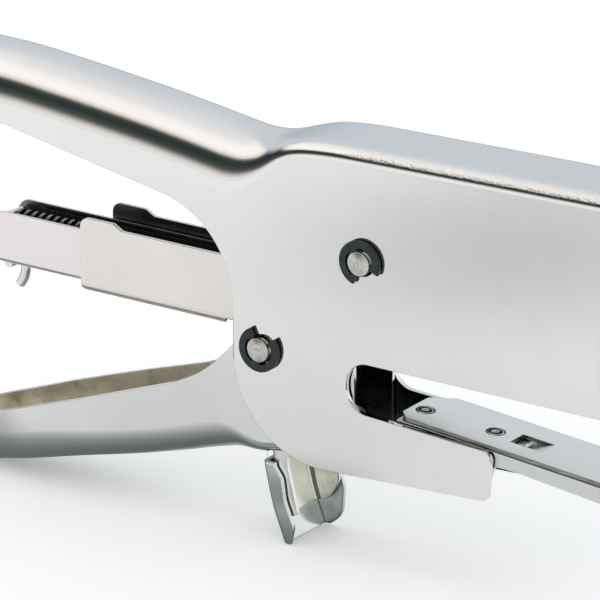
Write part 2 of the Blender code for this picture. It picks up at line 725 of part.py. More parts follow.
def drawer_channel():
    """The inner channel that holds the staples and slides out at the rear."""
    x0, x1 = DRAWER_X
    body = folded_channel("drawer_channel", DRAWER_X, DRAWER_Y, DRAWER_FLOOR, DRAWER_T, DRAWER_BEND)
    outline = rounded([
        (x0 - 1, -26, 0), (x0 - 0.01, DRAWER_TOP, 3.5), (x1 + 1, DRAWER_TOP, 0), (x1 + 1, -26, 0),
    ])
    return combine(body, [prism("sides", outline, -14, 14)], "INTERSECT")


def spring_rail():
    """The blackened inner channel that keeps the spring straight behind the pusher's travel."""
    x0, x1 = SPRING_RAIL_X
    half = DRAWER_Y - DRAWER_T - GAP - 0.1
    floor = DRAWER_FLOOR + DRAWER_T + GAP + 0.1
    rail = block("spring_rail", (x0, x1), (-half, half), (floor, DRAWER_TOP - 0.9))
    hollow = block("hollow", (x0 - 2, x1 + 2), (-half + 0.5, half - 0.5), (floor + 0.5, 0))
    return combine(rail, [hollow])


def drawer_end_stop():
    """The plate across the drawer's rear end that holds the guide rod and the spring."""
    x0, x1 = END_STOP_X
    inner = DRAWER_Y - DRAWER_T - GAP
    floor = DRAWER_FLOOR + DRAWER_T + GAP
    outline = rounded([(x0, floor, 0.5), (x1, floor, 0.5), (x1, -11, 0.5), (x0, -11, 0.5)])
    stop = prism("drawer_end_stop", outline, -inner + 0.4, inner - 0.4)
    hole = turned("hole", [(x0 - 2, 0), (x0 - 2, 1.5), (x0 + 4, 1.5), (x0 + 4, 0)], (0, 0, SPRING_Z), "X", 16)
    return combine(stop, [hole])


def spring_guide_rod():
    x0 = DRAWER_X[0] + 0.4
    x1 = PUSHER_X[1] + 1.8
    profile = [(x0, 0), (x0, 2.2), (x0 + 0.9, 2.2), (x0 + 0.9, 1.2), (x1 - 0.4, 1.2), (x1, 0.8), (x1, 0)]
    return turned("spring_guide_rod", profile, (0, 0, SPRING_Z), "X", 12)


def release_hook():
    """The sprung strip under the drawer, with a finger bent down from it and a lug at its end."""
    top = DRAWER_FLOOR - GAP
    x0, x1 = HOOK_X
    hook = block("release_hook", HOOK_X, (-2.2, 2.2), (top - HOOK_T, top))
    lug = rounded([
        (x0 + 2.6, top - 0.3, 0), (x0 + 2.2, top - 2.2, 0.8), (x0 + 0.3, top - 2.2, 0.8), (x0, top - 0.3, 0),
    ])
    combine(hook, [prism("lug", lug, -1.6, 1.6)], "UNION")
    x = x0 + 5.2
    finger = [
        (x, 0, top - 0.4), (x, 0, top - 2), (x - 0.4, 0, top - 4), (x - 1.1, 0, top - 5.4),
        (x - 1.7, 0, top - 6.3),
    ]
    return combine(hook, [wire("finger", finger, 1.15, 10)], "UNION")


def pusher():
    """The follower that the spring drives forward behind the staples, bored for the guide rod."""
    x0, x1 = PUSHER_X
    inner = DRAWER_Y - DRAWER_T - GAP
    outline = rounded([
        (x0, DRAWER_FLOOR + 1.1, 1), (x1, DRAWER_FLOOR + 1.1, 0.5), (x1, -10.2, 0.5),
        (x0 + 5, -10.2, 1.5), (x0, -11.2, 1),
    ])
    body = prism("pusher", outline, -inner, inner)
    bore = turned("bore", [(x0 - 2, 0), (x0 - 2, 1.5), (x1 + 2, 1.5), (x1 + 2, 0)], (0, 0, SPRING_Z), "X", 16)
    return combine(body, [bore])


def pusher_spring():
    x0 = END_STOP_X[1] + GAP + SPRING_WIRE
    x1 = PUSHER_X[0] - GAP - SPRING_WIRE
    turns, steps = 30, 9
    route = [
        (
            x0 + (x1 - x0) * k / (turns * steps),
            SPRING_R * cos(2 * pi * k / steps),
            SPRING_Z + SPRING_R * sin(2 * pi * k / steps),
        )
        for k in range(turns * steps + 1)
    ]
    return wire("pusher_spring", route, SPRING_WIRE, 4)


# Driver


def driver_blade():
    faces = (DRIVER_X - DRIVER_T / 2, DRIVER_X + DRIVER_T / 2)
    return block("driver_blade", faces, (-DRIVER_Y, DRIVER_Y), (DRIVER_FLOOR, YOKE_FLOOR - GAP))


def driver_yoke():
    x, z = DRIVER_PIN
    outline = rounded([
        (x - 2.2, YOKE_FLOOR, 0), (x + 2.2, YOKE_FLOOR, 0), (x + 2.2, z + 3, 1.5), (x - 2.2, z + 3, 1.5),
    ])
    yoke = prism("driver_yoke", outline, -DRIVER_Y, DRIVER_Y)
    return combine(yoke, [rod("hole", x, z, DRIVER_PIN_R + GAP, -14, 14, 16)])


def main():
    clear_scene()
    body = axis_empty("body_axis", *UPPER_PIN)
    lever = axis_empty("lever_axis", *UPPER_PIN)
    magazine = axis_empty("magazine_axis", *LOWER_PIN)
    arm = arm_axis(body)

    finish(body_shell(), body, NICKEL)
    pins_and_clips(body)
    finish_on_arm(anvil_arm(), arm, NICKEL)
    finish_on_arm(anvil_cover_plate(), arm, BRIGHT)
    for name, spot in zip(("rear", "front"), COVER_RIVETS):
        finish_on_arm(cover_rivet(f"cover_rivet_{name}", *spot), arm, STEEL)
    finish_on_arm(anvil_die(), arm, STEEL)

    finish(lower_handle(), lever, NICKEL)
    finish(finger_guard(), lever, NICKEL)
    finish(guard_bracket(), lever, BRIGHT)
    for name, (x, z) in zip(("rear", "front"), GUARD_RIVETS):
        finish(stepped_pin(f"guard_rivet_{name}", x, z, SMALL_PIN_R, LEVER_Y), lever, STEEL)
    finish(stepped_pin("spring_pin", *SPRING_PIN, SMALL_PIN_R, LEVER_Y), lever, STEEL)
    finish(tube("pivot_bush", *UPPER_PIN, PIN_R + GAP, BUSH_R, -LEVER_Y, LEVER_Y), lever, STEEL)
    finish(handle_return_spring(), lever, SPRING_STEEL)

    finish(magazine_channel(), magazine, NICKEL)
    finish(magazine_head(), magazine, STEEL)
    finish(nose_front_plate(), magazine, NICKEL)

    finish(driver_blade(), magazine, STEEL)
    finish(driver_yoke(), magazine, STEEL)
    finish(stepped_pin("driver_cross_pin", *DRIVER_PIN, DRIVER_PIN_R, LEVER_Y), magazine, STEEL)

    finish(drawer_channel(), magazine, NICKEL)
    finish(drawer_end_stop(), magazine, NICKEL)
    finish(spring_guide_rod(), magazine, STEEL)
    finish(release_hook(), magazine, NICKEL)
    finish(spring_rail(), magazine, DARK_STEEL)
    finish(pusher(), magazine, STEEL)
    finish(pusher_spring(), magazine, SPRING_STEEL)


main()
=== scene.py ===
"""Looks for the plier stapler: nickel-plated sheet metal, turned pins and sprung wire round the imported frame.

Lengths below are millimetres in the drawing frame, whose origin is the upper pivot pin: +X runs forward to
the nose, +Y is the pins' axis and +Z is up. drawn() turns a point of it into the frame's metres. Overall
sizes are read from the frame's boxes. Every piece is rebuilt here at full smoothness, with rounded edges.
"""

import json
from math import atan2, cos, hypot, pi, radians, sin, tan

import bmesh
import bpy
from mathutils import Matrix, Vector


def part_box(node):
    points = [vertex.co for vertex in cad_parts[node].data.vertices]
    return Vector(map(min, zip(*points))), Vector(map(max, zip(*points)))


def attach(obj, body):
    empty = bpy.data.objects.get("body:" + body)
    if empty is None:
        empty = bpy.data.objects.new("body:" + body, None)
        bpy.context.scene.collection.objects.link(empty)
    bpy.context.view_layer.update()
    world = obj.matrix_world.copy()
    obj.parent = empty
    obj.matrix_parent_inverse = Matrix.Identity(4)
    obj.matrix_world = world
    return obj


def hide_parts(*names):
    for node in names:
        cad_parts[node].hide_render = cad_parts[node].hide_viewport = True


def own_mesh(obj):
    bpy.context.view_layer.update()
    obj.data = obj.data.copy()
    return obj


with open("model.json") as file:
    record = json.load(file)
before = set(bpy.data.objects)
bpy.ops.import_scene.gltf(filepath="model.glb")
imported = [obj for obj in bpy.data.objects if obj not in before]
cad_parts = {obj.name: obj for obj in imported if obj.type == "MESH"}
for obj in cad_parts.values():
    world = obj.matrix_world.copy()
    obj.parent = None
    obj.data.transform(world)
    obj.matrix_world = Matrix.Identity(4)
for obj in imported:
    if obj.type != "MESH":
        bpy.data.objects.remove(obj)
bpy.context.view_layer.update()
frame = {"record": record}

MM = 0.001
FINE = radians(5)  # step of the arcs in an outline


def middle_of(node):
    low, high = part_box(node)
    return (low + high) / 2


ORIGIN = middle_of("upper_pivot_pin")


def spot_of(node):
    """A node's middle in drawing millimetres."""
    return (middle_of(node) - ORIGIN) / MM


def corners_of(node):
    """A node's lowest and highest corners in drawing millimetres."""
    low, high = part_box(node)
    return (low - ORIGIN) / MM, (high - ORIGIN) / MM


def drawn(point):
    return ORIGIN + Vector(point) * MM


# Sizes that the frame gives
SHELL_LOW, SHELL_HIGH = corners_of("body_shell")
MAGAZINE_LOW, MAGAZINE_HIGH = corners_of("magazine_channel")
DRAWER_LOW, DRAWER_HIGH = corners_of("drawer_channel")
UPPER_PIN = (0.0, 0.0)
LOWER_PIN = tuple(spot_of("lower_pivot_pin").xz)
REAR_X = SHELL_LOW.x
NOSE_X = SHELL_HIGH.x
SHELL_Y = SHELL_HIGH.y
GRIP_Y = corners_of("lower_handle")[1].y
PIN_END_Y = corners_of("upper_pivot_pin")[1].y
PIN_R = corners_of("upper_pivot_pin")[1].z
ROD_Z = spot_of("spring_guide_rod").z
GAP = 0.3
BEYOND_Y = 14  # past both sides of every piece

# Sheet metal
SHELL_T = 1.5
LEVER_T = 1.2
LEVER_Y = 8.6
GRIP_END_Y = 9.8  # the grip narrows towards its end
BODY_BEND = 3.8
CROWN = [
    (-122, 31.4), (-100, 31.0), (-85, 29.7), (-62, 27.2), (-48, 25.3), (-38, 23.8), (-31, 22.8),
    (-27, 22.9), (-22, 24.2), (-16, 25.6), (-8, 26.4), (6, 26.8), (60, 27.9), (90, 28.4),
]
SIDE_OUTLINE = [
    (-124, 18.4, 0), (-35.5, 2.3, 24), (-35.3, -53.6, 24), (34.0, -50.5, 2.0), (34.9, -38.5, 2.4),
    (-4.3, -36.4, 5.7), (-4.3, -24.45, 5.8), (76, -24.45, 0), (76, 34, 0), (-124, 38, 0),
]
NOSE_CORNER = 2.3
NOSE_ROUND = 11.0
END_ROUND = 10.0
KEEL = [
    (-122, -74.2), (-112, -74.2), (-104, -72.3), (-82, -66.4), (-65, -62.5), (-54.6, -59.8), (-44, -56.6),
    (-33, -53.9), (-20, -51.9), (0, -51.6), (90, -51.6),
]
LEVER_OUTLINE = [
    (-124, -64.8, 0), (-46.0, -38.0, 40), (-16.5, -5.5, 6), (-11.5, 9.5, 7), (12, 10.5, 30), (70.4, 17.2, 4),
    (71.2, 7.8, 3), (66.0, 7.4, 4), (15, -6.0, 40), (-3.3, -8.5, 6), (-3.3, -51.0, 8),
    (-20, -51.4, 0), (-22, -58, 0), (-22, -80, 0), (-124, -80, 0),
]
WEB_END_X = -28.0
LEVER_STROKE = radians(21.5)
GUARD_RIVETS = [tuple(spot_of(f"guard_rivet_{end}").xz) for end in ("rear", "front")]
SPRING_PIN = tuple(spot_of("spring_pin").xz)
DRIVER_PIN = tuple(spot_of("driver_cross_pin").xz)
BUSH_R = 4.5
SMALL_PIN_R = 1.5

# Anvil arm, drawn about its own rear end and sloping down
ARM_X = 8.6
ARM_Z = -35.2
ARM_SLOPE = radians(5.0)
ARM_Y = 8.6
COVER_T = 1.0
COVER_LENGTH = 54.4
COVER_RIVETS = ((3.5, -2.2), (21.8, -1.2))  # along and across the plate
WINDOW_X = (27.2, 35.6)
WINDOW_Y = (-3.7, 1.9)
TAB_LENGTH = 5.6
TAB_DROP = 1.5

# Finger guard: an outer layer and an inner bracket, both following one curved back
GUARD_BACK = [  # z and x, upwards
    (-76.0, -22.2), (-71.7, -23.85), (-68.5, -25.1), (-65.6, -26.15), (-62.4, -27.05), (-57.8, -28.1),
    (-54.7, -28.75), (-40.0, -31.6),
]
GUARD_TOP = -54.7
GUARD_FLOOR = -73.9
BRACKET_Y = 7.1
BRACKET_T = 1.0
CLIP_GROOVE = (10.55, 11.85)
CLIPS = (("upper", UPPER_PIN, -65, 42), ("lower", LOWER_PIN, 77, 38.5))  # opening and half gap in degrees


# Outlines and curves


def rounded(corners, step=FINE):
    """A closed outline from (a, b, radius) corners, with an arc at each corner that has a radius."""
    outline = []
    for i, (a, b, radius) in enumerate(corners):
        here = Vector((a, b))
        if not radius:
            outline.append((a, b))
            continue
        back = (Vector(corners[i - 1][:2]) - here).normalized()
        ahead = (Vector(corners[(i + 1) % len(corners)][:2]) - here).normalized()
        half = back.angle(ahead) / 2
        centre = here + (back + ahead).normalized() * radius / sin(half)
        start = here + back * radius / tan(half) - centre
        end = here + ahead * radius / tan(half) - centre
        turn = atan2(start.x * end.y - start.y * end.x, start.dot(end))
        count = max(2, round(abs(turn) / step))
        for k in range(count + 1):
            angle = turn * k / count
            x = start.x * cos(angle) - start.y * sin(angle)
            y = start.x * sin(angle) + start.y * cos(angle)
            outline.append((centre.x + x, centre.y + y))
    return outline


def along(points, x):
    """Height at x of a smooth curve through the points (Catmull-Rom)."""
    last = len(points) - 1
    i = max(k for k in range(last) if k == 0 or points[k][0] <= x)
    (x0, z0), (x1, z1) = points[i], points[i + 1]
    before = points[max(i - 1, 0)]
    after = points[min(i + 2, last)]
    slope0 = (z1 - before[1]) / (x1 - before[0])
    slope1 = (after[1] - z0) / (after[0] - x0)
    t = (x - x0) / (x1 - x0)
    span = x1 - x0
    return (
        z0 * (2 * t**3 - 3 * t**2 + 1)
        + slope0 * span * (t**3 - 2 * t**2 + t)
        + z1 * (3 * t**2 - 2 * t**3)
        + slope1 * span * (t**3 - t**2)
    )


def blend(x, x0, x1, value0, value1):
    """value0 up to x0, value1 from x1, and a smooth step between."""
    t = min(max((x - x0) / (x1 - x0), 0), 1)
    return value0 + (value1 - value0) * t * t * (3 - 2 * t)


def steps(start, end, size):
    """Evenly spaced values from start towards end, without end."""
    count = max(1, round(abs(end - start) / size))
    return [start + (end - start) * k / count for k in range(count)]


# Meshes


def mesh_object(name, points, faces):
    """A solid from points in drawing millimetres, with its faces turned to point out."""
    mesh = bpy.data.meshes.new(name)
    mesh.from_pydata([drawn(p) for p in points], [], faces)
    shape = bmesh.new()
    shape.from_mesh(mesh)
    bmesh.ops.recalc_face_normals(shape, faces=shape.faces)
    shape.to_mesh(mesh)
    shape.free()
    obj = bpy.data.objects.new(name, mesh)
    bpy.context.scene.collection.objects.link(obj)
    return obj


def rings(name, points, size):
    """Joins rings of the same size one after another, and caps both ends."""
    count = len(points) // size
    faces = [
        [i * size + k, i * size + (k + 1) % size, (i + 1) * size + (k + 1) % size, (i + 1) * size + k]
        for i in range(count - 1)
        for k in range(size)
    ]
    last = (count - 1) * size
    return mesh_object(name, points, [*faces, list(range(size)), list(range(last, last + size))])


def prism(name, outline, y0, y1):
    """An outline in X and Z, run along Y."""
    return rings(name, [(x, y, z) for y in (y0, y1) for x, z in outline], len(outline))


def through(name, outline):
    """An outline in X and Z, run past both sides."""
    return prism(name, outline, -BEYOND_Y, BEYOND_Y)


def slab(name, outline, z0, z1):
    """An outline in X and Y, run along Z."""
    return rings(name, [(x, y, z) for z in (z0, z1) for x, y in outline], len(outline))


def block(name, x, y, z):
    return prism(name, [(x[0], z[0]), (x[1], z[0]), (x[1], z[1]), (x[0], z[1])], *y)


def turned(name, profile, place, axis="Y", count=72):
    """A profile of (position, radius) pairs turned about an axis; it starts and ends on the axis."""
    points = []
    for at, radius in profile:
        angles = [2 * pi * k / count for k in range(count)] if radius else [0.0]
        for angle in angles:
            a, b = radius * cos(angle), radius * sin(angle)
            spot = {"X": (at, a, b), "Y": (a, at, b), "Z": (a, b, at)}[axis]
            points.append(tuple(s + p for s, p in zip(spot, place)))
    faces = []
    start = 0
    for (_, radius), (_, after) in zip(profile, profile[1:]):
        size, following = (1 if not r else count for r in (radius, after))
        for k in range(count):
            j = (k + 1) % count
            near = [start + k % size, start + j % size]
            far = [start + size + j % following, start + size + k % following]
            faces.append(list(dict.fromkeys(near + far)))
        start += size
    return mesh_object(name, points, faces)


def bore(name, start, end, radius, place, axis="Y"):
    """A cylinder from start to end along an axis."""
    return turned(name, [(start, 0), (start, radius), (end, radius), (end, 0)], place, axis)


def rod(name, x, z, radius, half=BEYOND_Y):
    return bore(name, -half, half, radius, (x, 0, z))


def section(width, height, bend_y, bend_z, far_z, up, count):
    """Half outline of a channel's section: a wall, an elliptical bend and half of the web."""
    turns = [pi / 2 * k / count for k in range(count + 1)]
    return [(width, far_z)] + [
        (width - bend_y * (1 - cos(turn)), height - up * bend_z * (1 - sin(turn))) for turn in turns
    ]


def channel(name, stations, far_z, count=14):
    """A solid lofted through (x, half width, height, bend in Y, bend in Z) stations, down or up to far_z."""
    up = 1 if stations[0][2] > far_z else -1
    points = []
    for x, width, height, bend_y, bend_z in stations:
        right = section(width, height, bend_y, bend_z, far_z, up, count)
        points += [(x, y, z) for y, z in right]
        points += [(x, -y, z) for y, z in reversed(right)]
    return rings(name, points, len(points) // len(stations))


def wire(name, route, radius, sides=12):
    """A round wire along a route of points, with flat ends."""
    points = []
    side = None
    for i, spot in enumerate(route):
        ahead = Vector(route[min(i + 1, len(route) - 1)])
        heading = (ahead - Vector(route[max(i - 1, 0)])).normalized()
        if side is None:
            side = heading.orthogonal()
        side = (side - heading * side.dot(heading)).normalized()
        other = heading.cross(side)
        for k in range(sides):
            angle = 2 * pi * k / sides
            points.append(Vector(spot) + radius * (side * cos(angle) + other * sin(angle)))
    return rings(name, points, sides)


def combine(target, tools, operation="DIFFERENCE"):
    """Joins the tools to the target, or cuts them from it, and removes them."""
    for tool in tools:
        modifier = target.modifiers.new("combine", "BOOLEAN")
        modifier.operation = operation
        modifier.solver = "EXACT"
        modifier.object = tool
        bpy.context.view_layer.update()
        graph = bpy.context.evaluated_depsgraph_get()
        result = bpy.data.meshes.new_from_object(target.evaluated_get(graph))
        target.modifiers.clear()
        spent = target.data
        target.data = result
        bpy.data.meshes.remove(spent)
        bpy.data.objects.remove(tool, do_unlink=True)
    return target


def round_edges(obj, width):
    """Rounds every sharp edge, as tumbling and plating leave it."""
    bevel = obj.modifiers.new("edges", "BEVEL")
    bevel.width = width * MM
    bevel.segments = 3
    bevel.limit_method = "ANGLE"
    bevel.angle_limit = radians(35)
    bevel.use_clamp_overlap = False
    bevel.harden_normals = False
    bevel.miter_outer = "MITER_ARC"
    return obj


PIECE_SUFFIX = "_finished"


def finish(obj, node, metal, edge=0.15, smooth=32):
    """Rounds a piece's edges, gives it its metal, and puts it on the body of the node that it replaces."""
    obj.name = node + PIECE_SUFFIX
    obj.data.name = obj.name
    obj.data.materials.clear()
    obj.data.materials.append(metal)
    obj.data.shade_smooth()
    if edge:
        round_edges(obj, edge)
        weighted = obj.modifiers.new("normals", "WEIGHTED_NORMAL")
        weighted.keep_sharp = True
        weighted.weight = 50
    else:
        obj.data.set_sharp_from_angle(angle=radians(smooth))
    body = next(name for name, nodes in frame["record"]["behaviour"]["bodies"].items() if node in nodes)
    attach(obj, body)
    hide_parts(node)
    return obj


# Materials


class Graph:
    """A small helper for wiring the nodes of a material or a world."""

    def __init__(self, data):
        self.data = data
        data.use_nodes = True
        self.tree = data.node_tree

    def add(self, kind, **settings):
        node = self.tree.nodes.new(kind)
        for key, value in settings.items():
            setattr(node, key, value)
        return node

    def link(self, source, target):
        self.tree.links.new(source, target)

    def give(self, socket, value):
        """Sets a socket to a number or a colour, or links another node's output to it."""
        if isinstance(value, (int, float)):
            socket.default_value = value
        elif isinstance(value, tuple):
            socket.default_value = (*value, 1)
        else:
            self.link(value, socket)

    def principled(self, **inputs):
        """Sets the material's own shader, whose sockets are named with underscores."""
        for name, value in inputs.items():
            self.give(self.tree.nodes["Principled BSDF"].inputs[name.replace("_", " ")], value)

    def coordinate(self, kind):
        return self.add("ShaderNodeTexCoord").outputs[kind]

    def position(self, scale=(1, 1, 1), kind="Object"):
        """Coordinates stretched by a scale per axis."""
        mapping = self.add("ShaderNodeMapping")
        mapping.inputs["Scale"].default_value = scale
        self.link(self.coordinate(kind), mapping.inputs["Vector"])
        return mapping.outputs["Vector"]

    def split(self, vector):
        parts = self.add("ShaderNodeSeparateXYZ")
        self.link(vector, parts.inputs["Vector"])
        return parts.outputs

    def vector(self, operation, value, fixed):
        """Vector arithmetic between a node's output and a fixed vector."""
        node = self.add("ShaderNodeVectorMath", operation=operation)
        node.inputs[1].default_value = fixed
        self.link(value, node.inputs[0])
        return node.outputs

    def noise(self, vector, scale, detail=2.0, roughness=0.5):
        node = self.add("ShaderNodeTexNoise")
        node.inputs["Scale"].default_value = scale
        node.inputs["Detail"].default_value = detail
        node.inputs["Roughness"].default_value = roughness
        self.link(vector, node.inputs["Vector"])
        return node.outputs["Fac"]

    def spread(self, value, low, high, to_low, to_high, smooth=False):
        """Maps a value from one range to another, clamped."""
        node = self.add("ShaderNodeMapRange")
        node.interpolation_type = "SMOOTHSTEP" if smooth else "LINEAR"
        for name, number in (("From Min", low), ("From Max", high), ("To Min", to_low), ("To Max", to_high)):
            node.inputs[name].default_value = number
        self.link(value, node.inputs["Value"])
        return node.outputs["Result"]

    def math(self, operation, *values):
        node = self.add("ShaderNodeMath", operation=operation)
        for socket, value in zip(node.inputs, values):
            self.give(socket, value)
        return node.outputs["Value"]

    def times(self, a, b):
        return self.math("MULTIPLY", a, b)

    def plus(self, a, b):
        return self.math("ADD", a, b)

    def size(self, value):
        return self.math("ABSOLUTE", value)

    def tint(self, factor, colour_a, colour_b):
        """Mixes two colours, each given as numbers or as another node's output."""
        node = self.add("ShaderNodeMix", data_type="RGBA")
        for k, value in ((0, factor), (6, colour_a), (7, colour_b)):
            self.give(node.inputs[k], value)
        return node.outputs[2]

    def layered(self, factor, shader_a, shader_b):
        """Mixes two shader nodes."""
        mix = self.add("ShaderNodeMixShader")
        for socket, value in zip(mix.inputs, (factor, shader_a.outputs[0], shader_b.outputs[0])):
            self.link(value, socket)
        return mix.outputs["Shader"]

    def bump(self, height, distance, strength=1.0, normal=None):
        """A bump whose strength is a number or varies over the surface."""
        node = self.add("ShaderNodeBump")
        node.inputs["Distance"].default_value = distance
        self.give(node.inputs["Strength"], strength)
        self.link(height, node.inputs["Height"])
        if normal is not None:
            self.link(normal, node.inputs["Normal"])
        return node.outputs["Normal"]


def material(name):
    return Graph(bpy.data.materials.new(name))


def bend_mask(graph, normal):
    """1 where the sheet turns between its flats and 0 on them, from the piece's surface direction."""
    return graph.times(graph.times(graph.size(normal["Y"]), graph.size(normal["Z"])), 2.0)


def inside_mask(graph, place, normal, inner, up):
    """1 on the inside of a folded channel: its walls face each other, and its web faces the open side."""
    wall = graph.math("LESS_THAN", graph.times(normal["Y"], place["Y"]), -0.0025)
    web = graph.math("GREATER_THAN", graph.times(normal["Z"], float(up)), 0.15)
    within = graph.math("LESS_THAN", graph.size(place["Y"]), (inner - 0.05) * MM)
    return graph.math("MAXIMUM", wall, graph.times(web, within))


# Painted shade deep inside the body and in an inside's upright bends, and painted light on its back walls.
DEEP_SHADE = (0.035, 0.042, 0.040)
CORNER_SHADE = (0.06, 0.075, 0.07)
LIT_BACK = (0.87, 0.88, 0.86)


def plated(name, light, shade, roughness, peel=6e-6, grain=2.5e-6, scratch=0.06, along_axis=(90, 2600, 2600),
           inside=None, inside_shade=(0.20, 0.20, 0.185), cracked=None, dark_inside_from=None, sheared=None, lit_back_shaded_bends=False):
    """Bright plated sheet: a soft orange-peel gloss, cloudy tint, and hairline scratches along the sheet.

    inside is a channel's inner half width and the way its open side faces.
    There the sheet is painted darker as shade, in a colour mottled by smears, and made rougher.
    cracked is the place along the sheet, in metres, ahead of which the tight bend has cracked the plating.
    dark_inside_from is the place ahead of which the inside lies within the body, painted near-black there as
    deep shade.
    sheared is the colour of a flat plate's cut edges. lit_back_shaded_bends paints the inside's back walls
    lighter, as lit faces, and paints shade into its upright bends.
    """
    graph = material(name)
    normal = graph.split(graph.coordinate("Normal"))
    place = graph.split(graph.coordinate("Object"))
    here = graph.position()
    cloud = graph.noise(here, 38, 3.0, 0.55)
    colour = graph.tint(graph.spread(cloud, 0.35, 0.65, 0, 1, True), light, shade)
    hairs = graph.noise(graph.position(along_axis), 1.0, 2.0, 0.6)
    lines = graph.spread(hairs, 0.62, 0.72, 0, 1)
    handled = graph.noise(here, 130, 4.0, 0.6)
    base = graph.spread(handled, 0.3, 0.7, roughness * 0.85, roughness * 1.2)
    rough = graph.plus(base, graph.times(lines, scratch))
    if inside:
        # painted shade: the channel's inside is darkened, mottled by smears
        mask = inside_mask(graph, place, normal, *inside)
        smear = graph.spread(graph.noise(here, 210, 4.0, 0.65), 0.35, 0.7, 0, 1)
        inside_shade_colour = graph.tint(smear, inside_shade, tuple(0.62 * part for part in inside_shade))
        # painted shade: deep within the body the inside turns near-black
        if dark_inside_from is not None:
            inside_shade_colour = graph.tint(graph.spread(place["X"], dark_inside_from, dark_inside_from + 0.02, 0, 1, True), inside_shade_colour, DEEP_SHADE)
        colour = graph.tint(mask, colour, inside_shade_colour)
        if lit_back_shaded_bends:
            # painted light on the back walls and painted shade in the upright bends, by the way each face
            # points
            fore = graph.size(normal["X"])
            back = graph.times(mask, graph.spread(fore, 0.6, 0.9, 0, 0.85, True))
            colour = graph.tint(back, colour, LIT_BACK)
            fold = graph.times(fore, graph.size(normal["Y"]))
            corner = graph.times(mask, graph.spread(fold, 0.05, 0.35, 0, 0.9, True))
            colour = graph.tint(corner, colour, CORNER_SHADE)
        rough = graph.plus(rough, graph.times(mask, 0.16))
    if sheared:
        edge = graph.spread(graph.size(normal["Z"]), 0.25, 0.6, 1, 0, True)
        torn = graph.spread(graph.noise(graph.position((150, 150, 3200)), 1.0, 2.0, 0.6), 0.35, 0.65, 0, 1)
        colour = graph.tint(edge, colour, graph.tint(torn, sheared, tuple(0.45 * part for part in sheared)))
        rough = graph.plus(rough, graph.times(edge, 0.12))
    soft = graph.bump(graph.noise(here, 900, 3.0, 0.6), peel, 0.35)
    bent = bend_mask(graph, normal)
    drawn_out = graph.noise(graph.position((2600, 700, 700)), 1.0, 2.0, 0.6)
    skin = graph.bump(drawn_out, peel * 1.6, graph.times(bent, 0.6), soft)
    if cracked is not None:
        ahead = graph.spread(place["X"], cracked, cracked + 0.012, 0, 1, True)
        upper = graph.spread(normal["Z"], 0.25, 0.5, 0, 1, True)
        where = graph.times(graph.times(bent, upper), ahead)
        skin = graph.bump(graph.noise(here, 1300, 3.0, 0.7), 2e-4, where, skin)
    skin = graph.bump(hairs, grain, 0.4, skin)
    graph.principled(Base_Color=colour, Roughness=rough, Normal=skin, Metallic=1.0)
    return graph.data


def turned_metal(name, light, shade, roughness, centre, axis="Y", groove=None):
    """Metal faced on a lathe: fine rings about an axis, which catch the light as a fan.

    groove is the least and greatest radius, in metres, of a ring painted near-black as shade.
    """
    graph = material(name)
    across = {"X": (0, 1, 1), "Y": (1, 0, 1), "Z": (1, 1, 0)}[axis]
    from_centre = graph.vector("SUBTRACT", graph.coordinate("Object"), centre)[0]
    flat = graph.vector("MULTIPLY", from_centre, across)[0]
    radius = graph.vector("LENGTH", flat, (0, 0, 0))["Value"]
    ring = graph.add("ShaderNodeTexNoise", noise_dimensions="1D")
    ring.inputs["Scale"].default_value = 9000
    ring.inputs["Detail"].default_value = 2.0
    graph.link(radius, ring.inputs["W"])
    rings_seen = ring.outputs["Fac"]
    blotch = graph.noise(graph.position(), 700, 3.0, 0.6)
    colour = graph.tint(graph.spread(blotch, 0.3, 0.7, 0, 1), light, shade)
    if groove:
        # painted shade: a near-black ring, in the rivet head's groove and on the pin's side under its clip
        inner, outer = groove
        from_inner = graph.spread(radius, inner - 1e-4, inner, 0, 1)
        to_outer = graph.spread(radius, outer, outer + 1e-4, 1, 0)
        colour = graph.tint(graph.times(from_inner, to_outer), colour, (0.035, 0.035, 0.030))
    graph.principled(
        Base_Color=colour, Metallic=1.0, Anisotropic=0.65,
        Roughness=graph.spread(rings_seen, 0.3, 0.7, roughness * 0.7, roughness * 1.4),
        Normal=graph.bump(rings_seen, 1.2e-5, 0.6),
        Tangent=graph.vector("CROSS_PRODUCT", flat, tuple(1 - part for part in across))[0],
    )
    return graph.data


def ground(name, light, shade, roughness, along_axis):
    """Ground or drawn steel: close parallel lines with slight stain between them."""
    graph = material(name)
    lines = graph.noise(graph.position(along_axis), 1.0, 3.0, 0.65)
    stain = graph.noise(graph.position(), 260, 4.0, 0.6)
    graph.principled(
        Base_Color=graph.tint(graph.spread(stain, 0.35, 0.65, 0, 1), light, shade),
        Roughness=graph.spread(lines, 0.3, 0.7, roughness * 0.75, roughness * 1.3),
        Normal=graph.bump(lines, 8e-6, 0.5), Metallic=1.0,
    )
    return graph.data


def blackened(name):
    """Oil-blackened spring steel: blue-black and semi-gloss, and black on its cut sides."""
    graph = material(name)
    here = graph.position()
    patch = graph.noise(here, 420, 4.0, 0.65)
    colour = graph.tint(graph.spread(patch, 0.42, 0.68, 0, 1), (0.006, 0.014, 0.018), (0.018, 0.032, 0.038))
    across = graph.size(graph.split(graph.coordinate("Normal"))["Y"])
    side = graph.spread(across, 0.3, 0.7, 1, 0, True)
    pits = graph.noise(here, 2600, 2.0, 0.5)
    graph.principled(
        Base_Color=graph.tint(side, colour, (0.002, 0.003, 0.003)), Metallic=0.45, Specular_IOR_Level=0.7,
        Roughness=graph.spread(pits, 0.3, 0.7, 0.24, 0.42), Normal=graph.bump(pits, 1.0e-5, 0.5),
    )
    return graph.data
